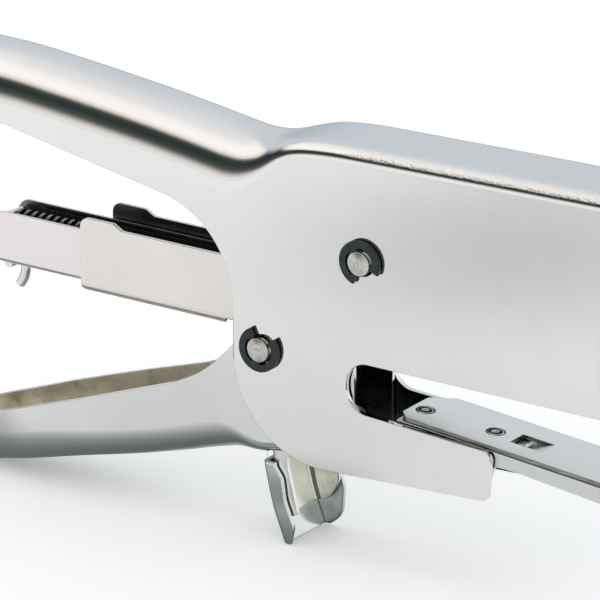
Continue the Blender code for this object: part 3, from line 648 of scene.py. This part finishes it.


# Materials given inside= carry painted shade on their channels' insides (see plated).
NICKEL = plated(
    "nickel_plate", (0.805, 0.795, 0.790), (0.785, 0.775, 0.770), 0.085, peel=4e-6,
    inside=(SHELL_Y - SHELL_T, -1), cracked=0.014, dark_inside_from=-0.03,
)
HANDLE_NICKEL = plated(
    "handle_nickel", (0.745, 0.745, 0.740), (0.720, 0.720, 0.715), 0.12, inside=(LEVER_Y - LEVER_T, 1),
    inside_shade=(0.84, 0.79, 0.68), dark_inside_from=-0.025,
)
GUARD_NICKEL = plated(
    "guard_nickel", (0.76, 0.78, 0.79), (0.70, 0.72, 0.73), 0.15, inside=(LEVER_Y - LEVER_T, -1),
    inside_shade=(0.50, 0.52, 0.51), lit_back_shaded_bends=True,
)
BRACKET_NICKEL = plated(
    "bracket_nickel", (0.90, 0.90, 0.87), (0.84, 0.84, 0.81), 0.24, inside=(BRACKET_Y - BRACKET_T, -1),
    inside_shade=(0.92, 0.90, 0.80), lit_back_shaded_bends=True,
)
STRIP = plated("bright_strip", (0.76, 0.75, 0.73), (0.72, 0.71, 0.69), 0.13, peel=4e-6)
MAGAZINE_STRIP = plated(
    "magazine_strip", (0.790, 0.745, 0.715), (0.760, 0.715, 0.685), 0.13, peel=4e-6, inside=(6.0, 1)
)
DRAWER_STRIP = plated(
    "drawer_strip", (0.810, 0.755, 0.765), (0.780, 0.725, 0.735), 0.13, peel=4e-6, inside=(4.7, 1)
)
SATIN = plated(
    "satin_plate", (0.640, 0.655, 0.650), (0.615, 0.630, 0.625), 0.22, peel=1.5e-6, grain=6e-7, scratch=0.02,
    along_axis=(2600, 90, 2600),
)
COVER = plated(
    "cover_satin", (0.835, 0.840, 0.815), (0.810, 0.815, 0.790), 0.22, peel=1.5e-6, grain=6e-7, scratch=0.02,
    along_axis=(2600, 90, 2600), sheared=(0.34, 0.35, 0.31),
)
GROUND = ground("hardened_steel", (0.52, 0.51, 0.49), (0.44, 0.43, 0.41), 0.3, (120, 3200, 3200))
# A darker wire, for the spring within the drawer.
DARK_SPRING_WIRE = ground("dark_spring_wire", (0.34, 0.33, 0.30), (0.16, 0.155, 0.14), 0.24, (900, 900, 900))
WIRE = ground("spring_wire", (0.62, 0.60, 0.57), (0.52, 0.50, 0.46), 0.24, (900, 900, 900))
BLACK = blackened("blackened_steel")


def lathe(node, roughness=0.26, axis="Y", groove=None):
    """Turned steel with its rings about the node's own middle."""
    name, light, shade = f"turned_steel_{node}", (0.66, 0.65, 0.63), (0.42, 0.41, 0.39)
    return turned_metal(name, light, shade, roughness, middle_of(node), axis, groove)


# Body


def shell_stations(inset):
    """Sections of the shell's outside, or of its inside when inset by the sheet's thickness."""
    stations = []
    end = END_ROUND - inset
    for k in range(16, 0, -1):
        angle = radians(5) * k
        x = REAR_X + inset + end * (1 - sin(angle) / sin(radians(80)))
        crown = along(CROWN, x) - 6 * (1 - cos(angle))
        width = (SHELL_Y - inset) * cos(angle)
        stations.append((x, width, crown - inset, width * 0.97, 12 * cos(angle)))
    turn_x = NOSE_X - NOSE_ROUND
    for x in [*steps(-112, -44, 2.0), *steps(-44, -4, 0.8), *steps(-4, turn_x, 9.7), turn_x]:
        bend_y = blend(x, -36, -17, 10.1, BODY_BEND)
        bend_z = blend(x, -40, -19, 15.0, BODY_BEND)
        stations.append((
            x, SHELL_Y - inset, along(CROWN, x) - inset, max(bend_y - inset, 0.6), max(bend_z - inset, 0.6),
        ))
    turn = NOSE_ROUND - inset
    top = along(CROWN, turn_x)
    corner = NOSE_CORNER - inset
    bend = BODY_BEND - inset
    for k in range(1, 19):
        angle = radians(5) * k
        x = turn_x + turn * sin(angle)
        depth = max(x - (NOSE_X - NOSE_CORNER), 0)
        width = SHELL_Y - inset - corner + max(corner**2 - depth**2, 0) ** 0.5
        stations.append((x, width, top - NOSE_ROUND + turn * cos(angle), bend, bend))
    return stations


def body_shell():
    shell = channel("shell", shell_stations(0), -60)
    combine(shell, [channel("hollow", shell_stations(SHELL_T), -62)])
    combine(shell, [through("sides", rounded(SIDE_OUTLINE, radians(3)))], "INTERSECT")
    return combine(shell, [rod("hole", x, z, PIN_R + GAP) for x, z in (UPPER_PIN, LOWER_PIN)])


def pivot_pin(x, z):
    """A pin with a clip groove, and a crowned face with a centre dimple at each end."""
    groove = CLIP_GROOVE
    half = [(PIN_END_Y - 0.42, 0), (PIN_END_Y - 0.36, 0.2), (PIN_END_Y - 0.04, 0.45), (PIN_END_Y, 0.55)]
    crown, rim = 0.48, 0.25
    for k in range(1, 7):
        out = k / 6
        half.append((PIN_END_Y - crown * out**1.35, 0.55 + (PIN_R - rim - 0.55) * out))
    for k in range(1, 5):
        turn = pi / 2 * k / 4
        half.append((PIN_END_Y - crown - rim * (1 - cos(turn)), PIN_R - rim * (1 - sin(turn))))
    half += [(groove[1], PIN_R), (groove[1], 2.5), (groove[0], 2.5), (groove[0], PIN_R)]
    profile = [(-y, r) for y, r in half] + [(y, r) for y, r in reversed(half)]
    return turned("pin", profile, (x, 0, z))


def retaining_clip(x, z, opening, half_gap, side):
    """An E-clip: a ring open on one side, with three round teeth in the pin's groove."""
    outer, inner, tooth = 5.4, 3.6, 2.8
    start = opening + half_gap
    sweep = 360 - 2 * half_gap
    count = 120
    outline = []
    for k in range(count + 1):
        angle = radians(start + sweep * k / count)
        outline.append((x + outer * cos(angle), z + outer * sin(angle)))
    for k in range(count, -1, -1):
        part = k / count
        near = min(abs(part - at) for at in (0.0, 0.5, 1.0))
        radius = blend(near, 0.035, 0.075, tooth, inner)
        angle = radians(start + sweep * part)
        outline.append((x + radius * cos(angle), z + radius * sin(angle)))
    return prism("clip", outline, *sorted((side * (CLIP_GROOVE[0] + 0.15), side * (CLIP_GROOVE[1] - 0.15))))


# Anvil arm


def tilt_arm(obj):
    """Moves a piece drawn about the arm's rear end to its place on the sloping arm."""
    move = Matrix.Translation(drawn((ARM_X, 0, ARM_Z))) @ Matrix.Rotation(ARM_SLOPE, 4, "Y")
    obj.data.transform(move @ Matrix.Translation(-drawn((0, 0, 0))))
    return obj


def anvil_arm():
    end = 64.5
    top = -COVER_T - GAP
    wall = 1.2
    outline = rounded([
        (0, top, 0), (end, top, 1.5), (end, -5.4, 2), (30, -4.4, 3), (26.6, -4.6, 1.5), (24.5, -12.6, 2),
        (1.5, -14.2, 2), (0, -10, 3),
    ])
    arm = prism("arm", outline, -ARM_Y, ARM_Y)
    hollow = block("hollow", (-2, end - wall), (-ARM_Y + wall, ARM_Y - wall), (-20, top - wall))
    x1 = WINDOW_X[1]
    y0, y1 = WINDOW_Y
    window = block("window", (x1 - TAB_LENGTH - 1, x1 + 0.6), (y0 - 0.8, y1 + 0.8), (-8, 2))
    holes = [bore("hole", -8, 2, 1.5, (x, y, 0), "Z") for x, y in COVER_RIVETS]
    return tilt_arm(combine(arm, [hollow, window, *holes]))


def anvil_cover_plate():
    outline = rounded([
        (0, -ARM_Y + 2.2, 1.5), (2.2, -ARM_Y, 1.5), (COVER_LENGTH, -ARM_Y, 0), (COVER_LENGTH, ARM_Y, 0),
        (5.5, ARM_Y, 2), (0, ARM_Y - 4.2, 2),
    ])
    plate = slab("plate", outline, -COVER_T, 0)
    window = block("window", WINDOW_X, WINDOW_Y, (-3, 2))
    holes = [bore("hole", -3, 2, 2.3, (x, y, 0), "Z") for x, y in COVER_RIVETS]
    combine(plate, [window, *holes])
    hinge = WINDOW_X[1]
    end = hinge - TAB_LENGTH
    tab = [
        (hinge + 0.5, -0.05), (hinge + 0.5, -0.95), (hinge - 0.3, -0.95), (end - 0.25, -TAB_DROP - 0.9),
        (end, -TAB_DROP), (hinge - 0.1, -0.05),
    ]
    return tilt_arm(combine(plate, [prism("tab", tab, WINDOW_Y[0] + 0.3, WINDOW_Y[1] - 0.3)], "UNION"))


def cover_rivet(x, y):
    """A flush rivet with a ring groove in its head."""
    profile = [
        (-3.4, 0), (-3.4, 2.3), (-3.3, 2.4), (-2.9, 2.4), (-2.8, 2.3), (-2.8, 1.2), (-1.1, 1.2), (-1.1, 2.0),
        (-0.05, 2.0), (0.05, 1.92), (0.05, 1.66), (-0.05, 1.58), (-0.32, 1.5), (-0.36, 1.4), (-0.36, 1.24),
        (-0.3, 1.15), (0.04, 1.05), (0.1, 0.95), (0.1, 0.3), (-0.05, 0.15), (-0.08, 0),
    ]
    return tilt_arm(turned("rivet", profile, (x, y, 0), "Z"))


def anvil_die():
    x0 = COVER_LENGTH + GAP
    outline = rounded([(x0, -7.6, 1), (x0 + 9.4, -7.6, 2), (x0 + 9.4, 7.6, 2), (x0, 7.6, 1)])
    die = slab("die", outline, -COVER_T, 0.0)
    centre = DRIVER_PIN[0] - ARM_X - 1.2
    for y in (-3.6, 3.6):
        groove = rounded([
            (centre - 0.7, y - 2.6, 0.6), (centre + 0.7, y - 2.6, 0.6), (centre + 0.7, y + 2.6, 0.6),
            (centre - 0.7, y + 2.6, 0.6),
        ])
        combine(die, [slab("groove", groove, -0.5, 1)])
    return tilt_arm(die)


# Lower handle


def lever_stations(inset):
    stations = []
    end = END_ROUND - inset
    for k in range(16, 0, -1):
        angle = radians(5) * k
        x = REAR_X + inset + end * (1 - sin(angle) / sin(radians(80)))
        keel = along(KEEL, x) + 7 * (1 - cos(angle))
        width = (GRIP_END_Y - inset) * cos(angle)
        stations.append((x, width, keel + inset, width * 0.95, 8.0 * cos(angle)))
    for x in [*steps(-112, -66, 2.5), *steps(-66, -24, 1.5), *steps(-24, 74, 14), 74]:
        width = min(blend(x, -112, -94, GRIP_END_Y, GRIP_Y), blend(x, -84, -42, GRIP_Y, LEVER_Y))
        bend_y = min(blend(x, -42, -28, 8.6, 3.0), 0.9 * width)
        bend_z = blend(x, -42, -28, 9.0, 3.0)
        bends = bend_y - inset * 0.8, bend_z - inset * 0.8
        stations.append((x, width - inset, along(KEEL, x) + inset, *bends))
    return stations


def pin_slot():
    """The arc that the lower pin follows in the lever's walls, with round ends."""
    radius = hypot(*LOWER_PIN)
    start = atan2(LOWER_PIN[1], LOWER_PIN[0])
    half = PIN_R + 0.45
    first = start - 0.012
    last = start + LEVER_STROKE + 0.012
    outline = []
    for edge, begin, end, turn in ((radius + half, first, last, 0), (radius - half, last, first, pi)):
        for k in range(25):
            angle = begin + (end - begin) * k / 24
            outline.append((edge * cos(angle), edge * sin(angle)))
        for k in range(1, 20):
            angle = end + turn + pi * k / 20
            outline.append((radius * cos(end) + half * cos(angle), radius * sin(end) + half * sin(angle)))
    return outline


def lower_handle():
    handle = channel("handle", lever_stations(0), 40)
    combine(handle, [channel("hollow", lever_stations(LEVER_T), 42)])
    combine(handle, [through("sides", rounded(LEVER_OUTLINE))], "INTERSECT")
    inner = LEVER_Y - LEVER_T
    x, z = DRIVER_PIN
    play = SMALL_PIN_R + 0.5
    slot = rounded([
        (x - play - 0.8, z - play, play), (x + play + 1.4, z - play, play), (x + play + 1.4, z + play, play),
        (x - play - 0.8, z + play, play),
    ])
    cuts = [
        block("open_front", (WEB_END_X, 80), (-inner, inner), (-60, -40)),
        rod("bush_hole", *UPPER_PIN, BUSH_R + GAP), through("arc", pin_slot()), through("slot", slot),
    ]
    cuts += [rod("hole", *spot, SMALL_PIN_R + GAP) for spot in (*GUARD_RIVETS, SPRING_PIN)]
    return combine(handle, cuts)


def guard_section(half, thickness, bend, setback):
    """A channel open towards the nose, lofted up the guard's back and set forward of it."""
    inner = half - thickness
    outside = rounded([(16, half, 0), (0, half, bend), (0, -half, bend), (16, -half, 0)])
    inside = rounded([
        (17, inner, 0), (thickness, inner, bend - thickness), (thickness, -inner, bend - thickness),
        (17, -inner, 0),
    ])
    low, high = GUARD_BACK[0][0], GUARD_BACK[-1][0]
    heights = [*steps(low, high, 0.9), high]

    def loft(name, outline, more):
        points = []
        for z in heights:
            at = z + more * ((z == high) - (z == low))
            points += [(x + along(GUARD_BACK, z) + setback, y, at) for x, y in outline]
        return rings(name, points, len(outline))

    return combine(loft("guard", outside, 0), [loft("inside", inside, 1)])


def trim_near_wall(obj, front):
    """Cuts the near wall back to a front edge, so that the far wall reaches further forward."""
    ahead = [(-5, front[0][1], 0), *front, (-5, front[-1][1], 0)]
    return combine(obj, [prism("near_front", rounded(ahead), -BEYOND_Y, 0)])


def finger_guard():
    guard = guard_section(LEVER_Y, LEVER_T, 1.6, 0)
    keep = rounded([
        (-34, GUARD_TOP, 0), (-19.5, GUARD_TOP, 3), (-16.6, -64.0, 6), (-17.2, -71.2, 5),
        (-20.4, GUARD_FLOOR, 1.5), (-34, GUARD_FLOOR, 0),
    ])
    combine(guard, [through("keep", keep)], "INTERSECT")
    return trim_near_wall(guard, [
        (-25.4, -50, 0), (-25.1, -55.6, 1.5), (-23.2, -58.2, 2.5), (-22.4, -63.6, 8), (-19.9, -69.4, 3),
        (-22.0, -80, 0),
    ])


def guard_bracket():
    bracket = guard_section(BRACKET_Y, BRACKET_T, 2.2, LEVER_T + GAP)
    keep = rounded([
        (-34, -42.0, 0), (-9.5, -42.0, 3), (-9.5, -49.6, 3), (-18.2, -53.8, 3), (-16.9, -62.0, 5),
        (-19.8, -67.2, 4), (-25, -67.9, 0), (-34, -67.9, 0),
    ])
    combine(bracket, [through("keep", keep)], "INTERSECT")
    wing = rounded([(-27.0, -42.0, 2), (-9.5, -42.0, 3), (-9.5, -49.6, 3), (-27, -51.5, 2)])
    for side in (-1, 1):
        faces = sorted((side * BRACKET_Y, side * (BRACKET_Y - BRACKET_T)))
        combine(bracket, [prism("wing", wing, *faces)], "UNION")
    trim_near_wall(bracket, [(-22.4, -53.0, 0), (-22.4, -55.6, 4), (-19.2, -68.0, 3), (-19.2, -80, 0)])
    return combine(bracket, [rod("hole", *spot, SMALL_PIN_R + GAP) for spot in GUARD_RIVETS])


def plain_pin(x, z):
    """A small pin across the lever, with rounded ends."""
    profile = [(-LEVER_Y, 0)]
    for k in range(5):
        turn = pi / 2 * k / 4
        profile.append((-LEVER_Y + 0.3 * (1 - cos(turn)), SMALL_PIN_R - 0.3 * (1 - sin(turn))))
    return turned("pin", profile + [(-y, r) for y, r in reversed(profile)], (x, 0, z), count=48)


def pivot_bush():
    bush = rod("bush", *UPPER_PIN, BUSH_R, LEVER_Y)
    return combine(bush, [rod("bore", *UPPER_PIN, PIN_R + GAP)])


def handle_return_spring():
    """A torsion spring round the bush, with one leg under the top web and one on the spring pin."""
    turns, pitch, radius, count = 6.0, 1.9, 5.9, 40
    start = radians(125)
    width = turns * pitch
    leg = (cos(start - pi / 2), sin(start - pi / 2))
    first = (radius * cos(start), -width / 2, radius * sin(start))
    route = [(first[0] + leg[0] * d, first[1], first[2] + leg[1] * d) for d in (20, 15, 10, 5, 2)]
    for k in range(int((turns + 0.5) * count)):
        angle = start + 2 * pi * k / count
        route.append((radius * cos(angle), -width / 2 + pitch * k / count, radius * sin(angle)))
    last = Vector(route[-1])
    heading = (last - Vector(route[-2])).normalized()
    heading.y = 0
    route += [tuple(last + heading * d) for d in (2.0, 5.0)]
    return wire("spring", route, 0.6)


# Magazine


MAGAZINE_FLOOR = -24.3
MAGAZINE_T = 1.0
DRAWER_T = 0.8


def folded(x0, x1, half, floor, thickness, bend, sides):
    """A straight channel folded from strip, open upwards, with its walls cut to an outline."""
    body = channel("channel", [(x0, half, floor, bend, bend), (x1, half, floor, bend, bend)], 6)
    inner = (half - thickness, floor + thickness, bend - thickness, bend - thickness)
    combine(body, [channel("hollow", [(x0 - 2, *inner), (x1 + 2, *inner)], 8)])
    return combine(body, [through("sides", rounded(sides))], "INTERSECT")


def magazine_channel():
    x0, x1 = MAGAZINE_LOW.x, MAGAZINE_HIGH.x
    half, floor = MAGAZINE_HIGH.y, MAGAZINE_FLOOR
    px, pz = LOWER_PIN
    body = folded(x0, x1, half, floor, MAGAZINE_T, 2.4, [
        (x0 + 1.8, -26, 0), (x0 - 0.01, -23.2, 1.2), (x0 - 0.01, -5.9, 2.4), (-71.5, -5.9, 1.2),
        (-69.0, -7.3, 1.2), (x1 + 1, -7.3, 0), (x1 + 1, -26, 0), (-33.0, -26, 0),
        (-33.0, floor + 1.6, 0.5), (-39.8, floor + 1.6, 0.6), (-41.6, -26, 0),
    ])
    inner = half - MAGAZINE_T
    combine(body, [block("window", (-42.5, -15), (-inner + 0.4, inner - 0.4), (-40, -20))])
    lug = rounded([
        (px - 5, -19, 1), (px + 8.5, -19, 1), (px + 7.5, pz - 3.5, 3), (px + 2, pz - 6, 4),
        (px - 5, pz - 5.5, 4),
    ])
    for side in (-1, 1):
        combine(body, [prism("lug", lug, *sorted((side * (inner + 0.1), side * (half - 0.1))))], "UNION")
    return combine(body, [rod("hole", px, pz, PIN_R + GAP)])


def from_box(node, outline_xz=None):
    """The node's own box as a solid, or an outline run over the node's width."""
    low, high = corners_of(node)
    if outline_xz:
        return prism(node, outline_xz, low.y, high.y)
    return block(node, (low.x, high.x), (low.y, high.y), (low.z, high.z))


def magazine_head():
    low, high = corners_of("magazine_head")
    x = DRIVER_PIN[0]
    outline = rounded([(low.x, low.z, 2.0), (high.x, low.z, 0.8), (high.x, high.z, 0), (low.x, high.z, 0)])
    slot = block("slot", (x - 0.75, x + 0.75), (-6.3, 6.3), (-40, -20))
    return combine(from_box("magazine_head", outline), [slot])


def drawer_channel():
    x0, x1 = DRAWER_LOW.x, DRAWER_HIGH.x
    top = DRAWER_HIGH.z
    return folded(x0, x1, DRAWER_HIGH.y, DRAWER_LOW.z, DRAWER_T, 1.5, [
        (x0 - 1, -26, 0), (x0 - 0.01, top, 3.5), (x1 + 1, top, 0), (x1 + 1, -26, 0),
    ])


def spring_rail():
    low, high = corners_of("spring_rail")
    wall = 0.5
    hollow = block("hollow", (low.x - 2, high.x + 2), (low.y + wall, high.y - wall), (low.z + wall, 0))
    return combine(from_box("spring_rail"), [hollow])


def bored_for_rod(obj, node):
    """Runs the guide rod's hole through a piece."""
    low, high = corners_of(node)
    return combine(obj, [bore("hole", low.x - 2, high.x + 2, 1.5, (0, 0, ROD_Z), "X")])


def drawer_end_stop():
    return bored_for_rod(from_box("drawer_end_stop"), "drawer_end_stop")


def spring_guide_rod():
    low, high = corners_of("spring_guide_rod")
    profile = [
        (low.x, 0), (low.x, 1.9), (low.x + 0.3, 2.2), (low.x + 0.7, 2.2), (low.x + 0.9, 2.1),
        (low.x + 0.9, 1.2),
        (high.x - 0.4, 1.2), (high.x, 0.8), (high.x, 0),
    ]
    return turned("rod", profile, (0, 0, ROD_Z), "X", 48)


def release_hook():
    low, high = corners_of("release_hook")
    top, x0, x1 = high.z, low.x, high.x
    hook = block("hook", (x0, x1), (-2.2, 2.2), (top - 0.8, top))
    lug = rounded([
        (x0 + 2.6, top - 0.3, 0), (x0 + 2.2, top - 2.2, 0.8), (x0 + 0.3, top - 2.2, 0.8), (x0, top - 0.3, 0),
    ])
    combine(hook, [prism("lug", lug, -1.6, 1.6)], "UNION")
    x = x0 + 5.2
    curve = [(0.0, -0.4), (0.0, -2.0), (-0.4, -4.0), (-1.1, -5.4), (-1.7, -6.3)]
    route = [(x + along([(-b, a) for a, b in curve], d), 0, top - d) for d in steps(0.4, 6.3, 0.35) + [6.3]]
    return combine(hook, [wire("finger", route, 1.15, 24)], "UNION")


def pusher():
    low, high = corners_of("pusher")
    outline = rounded([
        (low.x, low.z, 1), (high.x, low.z, 0.5), (high.x, high.z, 0.5), (low.x + 5, high.z, 1.5),
        (low.x, high.z - 1, 1),
    ])
    return bored_for_rod(from_box("pusher", outline), "pusher")


def pusher_spring():
    """A close compression spring on the guide rod, between the end stop and the pusher."""
    low, high = corners_of("pusher_spring")
    wire_r, coil_r = 0.36, 3.05
    spring_z = (low.z + high.z) / 2
    pitch, count = 2.1, 20
    start, end = low.x + wire_r, high.x - wire_r
    turns = round((end - start) / pitch)
    route = []
    for k in range(turns * count + 1):
        angle = 2 * pi * k / count
        x = start + (end - start) * k / (turns * count)
        route.append((x, coil_r * cos(angle), spring_z + coil_r * sin(angle)))
    return wire("spring", route, wire_r, 8)


def driver_yoke():
    low, high = corners_of("driver_yoke")
    outline = rounded([(low.x, low.z, 0), (high.x, low.z, 0), (high.x, high.z, 1.5), (low.x, high.z, 1.5)])
    return combine(from_box("driver_yoke", outline), [rod("hole", *DRIVER_PIN, SMALL_PIN_R + GAP)])


# Putting the pieces on


# Rings painted dark as shade: the pin's side under its clip, and the groove in a rivet's head.
PIN_SIDE_SHADOW = ((PIN_R - 0.1) * MM, 4e-3)
RIVET_GROOVE_SHADE = (1.15e-3, 1.62e-3)


def build_body():
    finish(body_shell(), "body_shell", NICKEL, 0.2)
    for name, spot, opening, half_gap in CLIPS:
        pin = f"{name}_pivot_pin"
        finish(pivot_pin(*spot), pin, lathe(pin, 0.2, groove=PIN_SIDE_SHADOW), 0)
        for side_name, side in (("near", -1), ("far", 1)):
            finish(retaining_clip(*spot, opening, half_gap, side), f"{name}_clip_{side_name}", BLACK, 0.14)
    finish(anvil_arm(), "anvil_arm", SATIN, 0.15)
    finish(anvil_cover_plate(), "anvil_cover_plate", COVER, 0.08)
    for name, spot in zip(("cover_rivet_rear", "cover_rivet_front"), COVER_RIVETS):
        finish(cover_rivet(*spot), name, lathe(name, axis="Z", groove=RIVET_GROOVE_SHADE), 0)
    finish(anvil_die(), "anvil_die", GROUND, 0.1)


def build_lever():
    finish(lower_handle(), "lower_handle", HANDLE_NICKEL, 0.18)
    finish(finger_guard(), "finger_guard", GUARD_NICKEL, 0.2)
    finish(guard_bracket(), "guard_bracket", BRACKET_NICKEL, 0.18)
    for node in ("guard_rivet_rear", "guard_rivet_front", "spring_pin"):
        finish(plain_pin(*spot_of(node).xz), node, lathe(node), 0)
    finish(pivot_bush(), "pivot_bush", lathe("pivot_bush"), 0.1)
    finish(handle_return_spring(), "handle_return_spring", WIRE, 0)


def build_magazine():
    finish(magazine_channel(), "magazine_channel", MAGAZINE_STRIP, 0.15)
    finish(magazine_head(), "magazine_head", GROUND, 0.15)
    finish(from_box("nose_front_plate"), "nose_front_plate", STRIP, 0.15)
    finish(from_box("driver_blade"), "driver_blade", GROUND, 0.08)
    finish(driver_yoke(), "driver_yoke", GROUND, 0.15)
    finish(plain_pin(*DRIVER_PIN), "driver_cross_pin", lathe("driver_cross_pin"), 0)
    finish(drawer_channel(), "drawer_channel", DRAWER_STRIP, 0.12)
    finish(drawer_end_stop(), "drawer_end_stop", STRIP, 0.12)
    finish(spring_guide_rod(), "spring_guide_rod", lathe("spring_guide_rod", axis="X"), 0)
    finish(release_hook(), "release_hook", STRIP, 0.12)
    finish(spring_rail(), "spring_rail", BLACK, 0.08)
    finish(pusher(), "pusher", GROUND, 0.15)
    spring = finish(pusher_spring(), "pusher_spring", DARK_SPRING_WIRE, 0, smooth=60)
    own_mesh(spring)


# Stage


FLOOR_R = 1.1
FLAG_R = 1.08
FLAG_HEIGHT = 0.0004  # clear of the floor, so that the two don't flicker


def disc(name, radius, graph):
    """A round sheet on the ground that is no part of the object."""
    shape = bmesh.new()
    bmesh.ops.create_circle(shape, cap_ends=True, segments=96, radius=radius)
    mesh = bpy.data.meshes.new(name)
    shape.to_mesh(mesh)
    shape.free()
    mesh.materials.append(graph.data)
    obj = bpy.data.objects.new(name, mesh)
    bpy.context.scene.collection.objects.link(obj)
    return obj


def floor():
    """A round pale table."""
    graph = material("floor_paper")
    grain = graph.noise(graph.position(), 6, 3.0, 0.5)
    paper = graph.tint(grain, (0.93, 0.93, 0.93), (0.95, 0.95, 0.95))
    graph.principled(
        Base_Color=paper, Emission_Color=paper, Emission_Strength=0.25, Roughness=0.9, Specular_IOR_Level=0.1,
    )
    disc("floor", FLOOR_R, graph)


def flags():
    """Painted dark reflections: a dark sheet round the part, which only the metal's reflections see."""
    graph = material("reflection_only_dark_sheet")
    spot = graph.coordinate("Object")
    place = graph.split(spot)
    sheet_mottle = graph.noise(spot, 30, 3.0, 0.6)
    under = graph.times(
        graph.spread(place["Y"], -0.056, -0.002, 0, 1, True),
        graph.spread(place["Y"], 0.000, 0.012, 1, 0.62, True),
    )
    under = graph.math("MAXIMUM", under, graph.spread(place["Y"], 0.012, 0.034, 0, 0.85, True))
    under = graph.times(under, graph.spread(place["Y"], 0.20, 0.30, 1, 0, True))
    under = graph.times(under, graph.spread(place["X"], 0.002, 0.022, 1, 0.12, True))

    def patch(x, y, radius, depth):
        """A soft round dark patch on the sheet, a painted dark reflection."""
        away = graph.vector("DISTANCE", spot, (x, y, 0))["Value"]
        return graph.spread(away, 0, radius, depth, 0, True)

    ahead = graph.plus(patch(-0.066, -0.216, 0.10, 0.30), patch(-0.040, -0.085, 0.085, 0.10))
    ahead = graph.plus(ahead, graph.spread(place["X"], -0.22, -0.06, 0.02, 0.11, True))
    ahead = graph.plus(ahead, patch(-0.018, -0.034, 0.034, 0.70))
    cover = graph.math("MAXIMUM", under, ahead)
    # painted dark reflection: the sheet glows dark where it covers, and is clear elsewhere
    dark_reflection = graph.add("ShaderNodeEmission")
    graph.link(graph.tint(sheet_mottle, (0.12, 0.15, 0.14), (0.16, 0.195, 0.185)), dark_reflection.inputs["Color"])
    clear = graph.add("ShaderNodeBsdfTransparent")
    graph.link(graph.layered(cover, clear, dark_reflection), graph.tree.nodes["Material Output"].inputs["Surface"])
    obj = disc("flags", FLAG_R, graph)
    obj.location.z = FLAG_HEIGHT
    for kind in ("camera", "diffuse", "transmission", "volume_scatter", "shadow"):
        setattr(obj, f"visible_{kind}", False)


SKY_FRONT = [  # height above the horizon as a sine, and the light that comes from there
    (-1.00, (0.90, 0.90, 0.90)),
    (-0.02, (0.97, 0.94, 0.90)),
    (0.05, (0.54, 0.52, 0.49)),
    (0.10, (0.24, 0.24, 0.225)),
    (0.15, (0.075, 0.085, 0.083)),
    (0.26, (0.026, 0.038, 0.035)),
    (0.365, (0.045, 0.058, 0.055)),
    (0.40, (0.30, 0.29, 0.265)),
    (0.445, (0.92, 0.86, 0.80)),
    (0.53, (1.22, 1.17, 1.13)),
    (0.68, (1.20, 1.16, 1.12)),
    (0.84, (0.95, 0.955, 0.96)),
    (1.00, (0.80, 0.84, 0.88)),
]
SKY_BACK = [
    (-1.00, (0.60, 0.62, 0.64)),
    (-0.12, (0.45, 0.50, 0.56)),
    (0.12, (0.56, 0.63, 0.68)),
    (0.34, (0.70, 0.74, 0.785)),
    (0.60, (0.70, 0.745, 0.785)),
    (1.00, (0.80, 0.84, 0.88)),
]
SKY_RIGHT = [
    (-1.00, (0.60, 0.60, 0.59)),
    (-0.10, (0.85, 0.85, 0.83)),
    (0.10, (1.04, 1.04, 1.00)),
    (0.60, (1.00, 1.00, 0.98)),
    (1.00, (0.80, 0.84, 0.88)),
]


SKY_SWAY = 0.09  # how far clouds of noise lift and drop the sky's bands


def studio_light():
    """A studio in the metal: a dark band at the horizon in front, a pale wall behind, a bright ceiling."""
    world = bpy.data.worlds.new("studio")
    bpy.context.scene.world = world
    graph = Graph(world)
    graph.tree.nodes.clear()
    toward = graph.split(graph.coordinate("Generated"))
    wander = graph.noise(graph.position((1.2, 1.2, 5.0), "Generated"), 1.6, 3.0)
    swayed = graph.math("MULTIPLY_ADD", wander, SKY_SWAY, toward["Z"])
    height = graph.spread(swayed, -1 + SKY_SWAY / 2, 1 + SKY_SWAY / 2, 0, 1)

    def ramp(sky):
        node = graph.add("ShaderNodeValToRGB")
        elements = node.color_ramp.elements
        while len(elements) > 1:
            elements.remove(elements[-1])
        for k, (sine, colour) in enumerate(sky):
            element = elements[0] if k == 0 else elements.new((sine + 1) / 2)
            element.position = (sine + 1) / 2
            element.color = (*colour, 1)
        graph.link(height, node.inputs["Fac"])
        return node.outputs["Color"]

    left = graph.tint(graph.spread(toward["Y"], -0.15, 0.25, 0, 1, True), ramp(SKY_FRONT), ramp(SKY_BACK))
    sky = graph.tint(graph.spread(toward["X"], 0.10, 0.45, 0, 1, True), left, ramp(SKY_RIGHT))
    lit = graph.add("ShaderNodeBackground")
    graph.link(sky, lit.inputs["Color"])
    seen = graph.add("ShaderNodeBackground")
    seen.inputs["Color"].default_value = (1.0, 1.0, 1.0, 1)
    seen_directly = graph.add("ShaderNodeLightPath").outputs["Is Camera Ray"]
    out = graph.add("ShaderNodeOutputWorld")
    graph.link(graph.layered(seen_directly, lit, seen), out.inputs["Surface"])


CAMERA_AZIMUTH = radians(34.2)
CAMERA_HEIGHT = radians(19.9)
CAMERA_DISTANCE = 1400
CAMERA_LENS = 373.8
CAMERA_AIM = (-9.69, -20.82, -7.84)


def camera():
    level = cos(CAMERA_HEIGHT)
    back = Vector((sin(CAMERA_AZIMUTH) * level, -cos(CAMERA_AZIMUTH) * level, sin(CAMERA_HEIGHT)))
    data = bpy.data.cameras.new("camera")
    data.lens = CAMERA_LENS
    data.sensor_width = 36
    data.clip_start = 0.05
    obj = bpy.data.objects.new("camera", data)
    obj.location = drawn(Vector(CAMERA_AIM) + back * CAMERA_DISTANCE)
    obj.rotation_euler = back.to_track_quat("Z", "Y").to_euler()
    bpy.context.scene.collection.objects.link(obj)
    bpy.context.scene.camera = obj


build_body()
build_lever()
build_magazine()
floor()
flags()
studio_light()
camera()
bpy.context.scene.view_settings.view_transform = "Standard"
